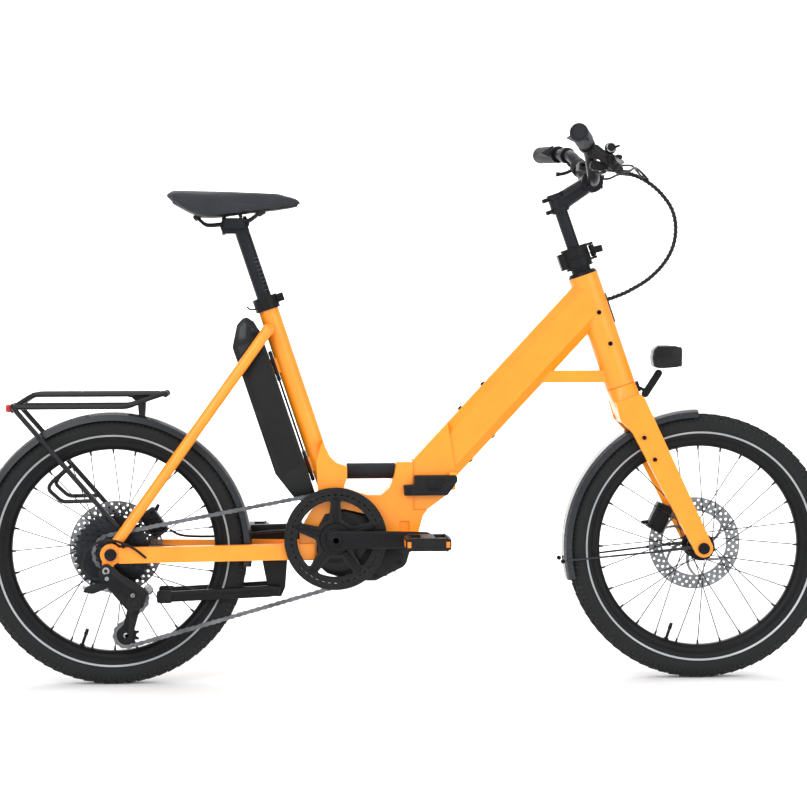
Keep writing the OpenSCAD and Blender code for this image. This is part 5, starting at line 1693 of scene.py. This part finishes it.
    def _seat(self) -> None:
        """Seat clamp bolt, clamp head and scale marks of the post."""
        clamp = Shape()
        clamp.screw((26, -7.2, 2), (0, -1, 0), 4.4, 3.2).pin((26, 7, 2), (26, 11, 2), 4.6, sides=6)
        clamp.moved(SEAT).build("seat_clamp_bolt", "rear_frame", SCREW)
        loop = Shape().sweep(
            curve([(-23, 6, -6), (-33, 7, -2), (-37, 0, 4), (-33, -7, -2), (-23, -6, -6)], 6), 1.6, 10,
        )
        loop.moved(SEAT).build("seat_clamp_loop", "rear_frame", SCREW)
        head = Shape().prism(
            [(206, 874), (210, 888), (258, 893), (264, 886), (262, 876), (246, 868), (222, 866)], -15, 15, 3,
            3,
        )
        for x in (214, 254):
            head.pin((x, 0, 860), (x, 0, 896), 4.2, sides=6)
        head.build("post_head", "seat", BLACK_METAL)
        marks = Shape()
        for k in range(9):
            marks.turned(
                [(15.3, -0.25), (15.65, -0.1), (15.65, 0.1), (15.3, 0.25)], (0, 0, 24 + 8 * k), (0, 0, 1), 8,
                True, 36, (0.4, -1, 0),
            )
        marks.moved(SEAT).build("post_marks", "seat", BRIGHT)


@dataclass
class Studio:
    """Pale floor, soft light and the camera."""

    eye: Vector = field(default_factory=lambda: Vector((-0.226, -4.306, 0.720)))
    pan: float = 2.96
    tilt: float = 2.45
    roll: float = 0.17
    lens: float = 99.9
    ambient: float = 0.62
    wall_y: float = 7.0
    wall_top: float = 9.0
    bend: float = 3.0
    half_w: float = 14.0
    lamp_size: float = 5.0

    def build(self) -> None:
        """Sets the stage."""
        self._floor()
        self._light("key", (-2.6, -4.6, 3.4), 190.0)
        self._light("fill", (3.6, -4.4, 2.6), 110.0)
        self._light("top", (0.2, -0.2, 4.6), 60.0)
        self._light("wash", (0.0, 3.2, 5.0), 420.0, (0, self.wall_y, 1.6))
        world = bpy.data.worlds.new("studio")
        world.use_nodes = True
        world.node_tree.nodes["Background"].inputs["Color"].default_value = (1, 1, 1, 1)
        world.node_tree.nodes["Background"].inputs["Strength"].default_value = self.ambient
        bpy.context.scene.world = world
        data = bpy.data.cameras.new("camera")
        data.lens, data.sensor_width = self.lens, 36.0
        data.clip_end = 100.0
        camera = bpy.data.objects.new("camera", data)
        camera.location = self.eye
        camera.rotation_euler = (
            math.radians(90 - self.tilt), math.radians(self.roll), math.radians(-self.pan),
        )
        bpy.context.scene.collection.objects.link(camera)
        bpy.context.scene.camera = camera
        bpy.context.scene.view_settings.view_transform = "Standard"

    def _light(self, name: str, spot: Point, power: float, aim: Point = (0, 0, 0.5)) -> None:
        """Adds a large soft lamp that faces the bicycle, or the wall."""
        data = bpy.data.lights.new(name, "AREA")
        data.size, data.energy = self.lamp_size, power
        lamp = bpy.data.objects.new(name, data)
        lamp.location = spot
        lamp.rotation_euler = (Vector(aim) - Vector(spot)).to_track_quat("-Z", "Y").to_euler()
        bpy.context.scene.collection.objects.link(lamp)

    def _floor(self) -> None:
        """Adds a plain pale paper sweep: a floor that turns up into a wall."""
        shape = bmesh.new()
        verts = [shape.verts.new((-self.half_w, y, z)) for y, z in self._sweep_line()]
        edges = [shape.edges.new(pair) for pair in zip(verts, verts[1:])]
        made = bmesh.ops.extrude_edge_only(shape, edges=edges)["geom"]
        far = [g for g in made if isinstance(g, bmesh.types.BMVert)]
        bmesh.ops.translate(shape, verts=far, vec=(2 * self.half_w, 0, 0))
        bmesh.ops.recalc_face_normals(shape, faces=shape.faces[:])
        for face in shape.faces:
            face.smooth = True
            if face.normal.z < -0.5 or face.normal.y > 0.5:
                face.normal_flip()
        mesh = bpy.data.meshes.new("floor")
        shape.to_mesh(mesh)
        shape.free()
        # Matt paper sweep: nearly white, no grain that shows.
        paper = Finish(
            "seamless_paper", "#FCFCFC", "#FAFAFA", 0.95, Surface.SPRAYED, grain_mm=8.0, relief_mm=0.01,
            edge_highlight_and_wear=0.0, shine=0.0,
        )
        mesh.materials.append(paper.material())
        floor = bpy.data.objects.new("floor", mesh)
        bpy.context.scene.collection.objects.link(floor)

    def _sweep_line(self) -> list[Flat]:
        """Side view of the sweep, in metres: floor, quarter turn, wall."""
        turns = [math.radians(6 * k) for k in range(16)]
        arc = [(self.wall_y - self.bend * (1 - math.sin(t)), self.bend * (1 - math.cos(t))) for t in turns]
        return [(-self.half_w, 0.0), *arc, (self.wall_y, self.wall_top)]


def dress(nodes: dict[str, bpy.types.Object]) -> None:
    """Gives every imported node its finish.

    Args:
        nodes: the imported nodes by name.
    """
    for name, node in nodes.items():
        node.data.materials.clear()
        node.data.materials.append(CARRIED[name].material())


def main() -> None:
    """Builds the bicycle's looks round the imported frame."""
    logging.basicConfig(level=logging.INFO, format="%(name)s: %(message)s")
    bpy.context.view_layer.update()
    Studio().build()
    dress(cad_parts)
    builders = [
        Wheel("rear", REAR_AXLE, 54.0),
        Wheel("front", FRONT_AXLE, 42.0),
        Saddle(), Battery(), Drive(), Frame(), Cockpit(), Running(),
    ]
    for builder in builders:
        builder.build()


if __name__ == "__main__":
    main()
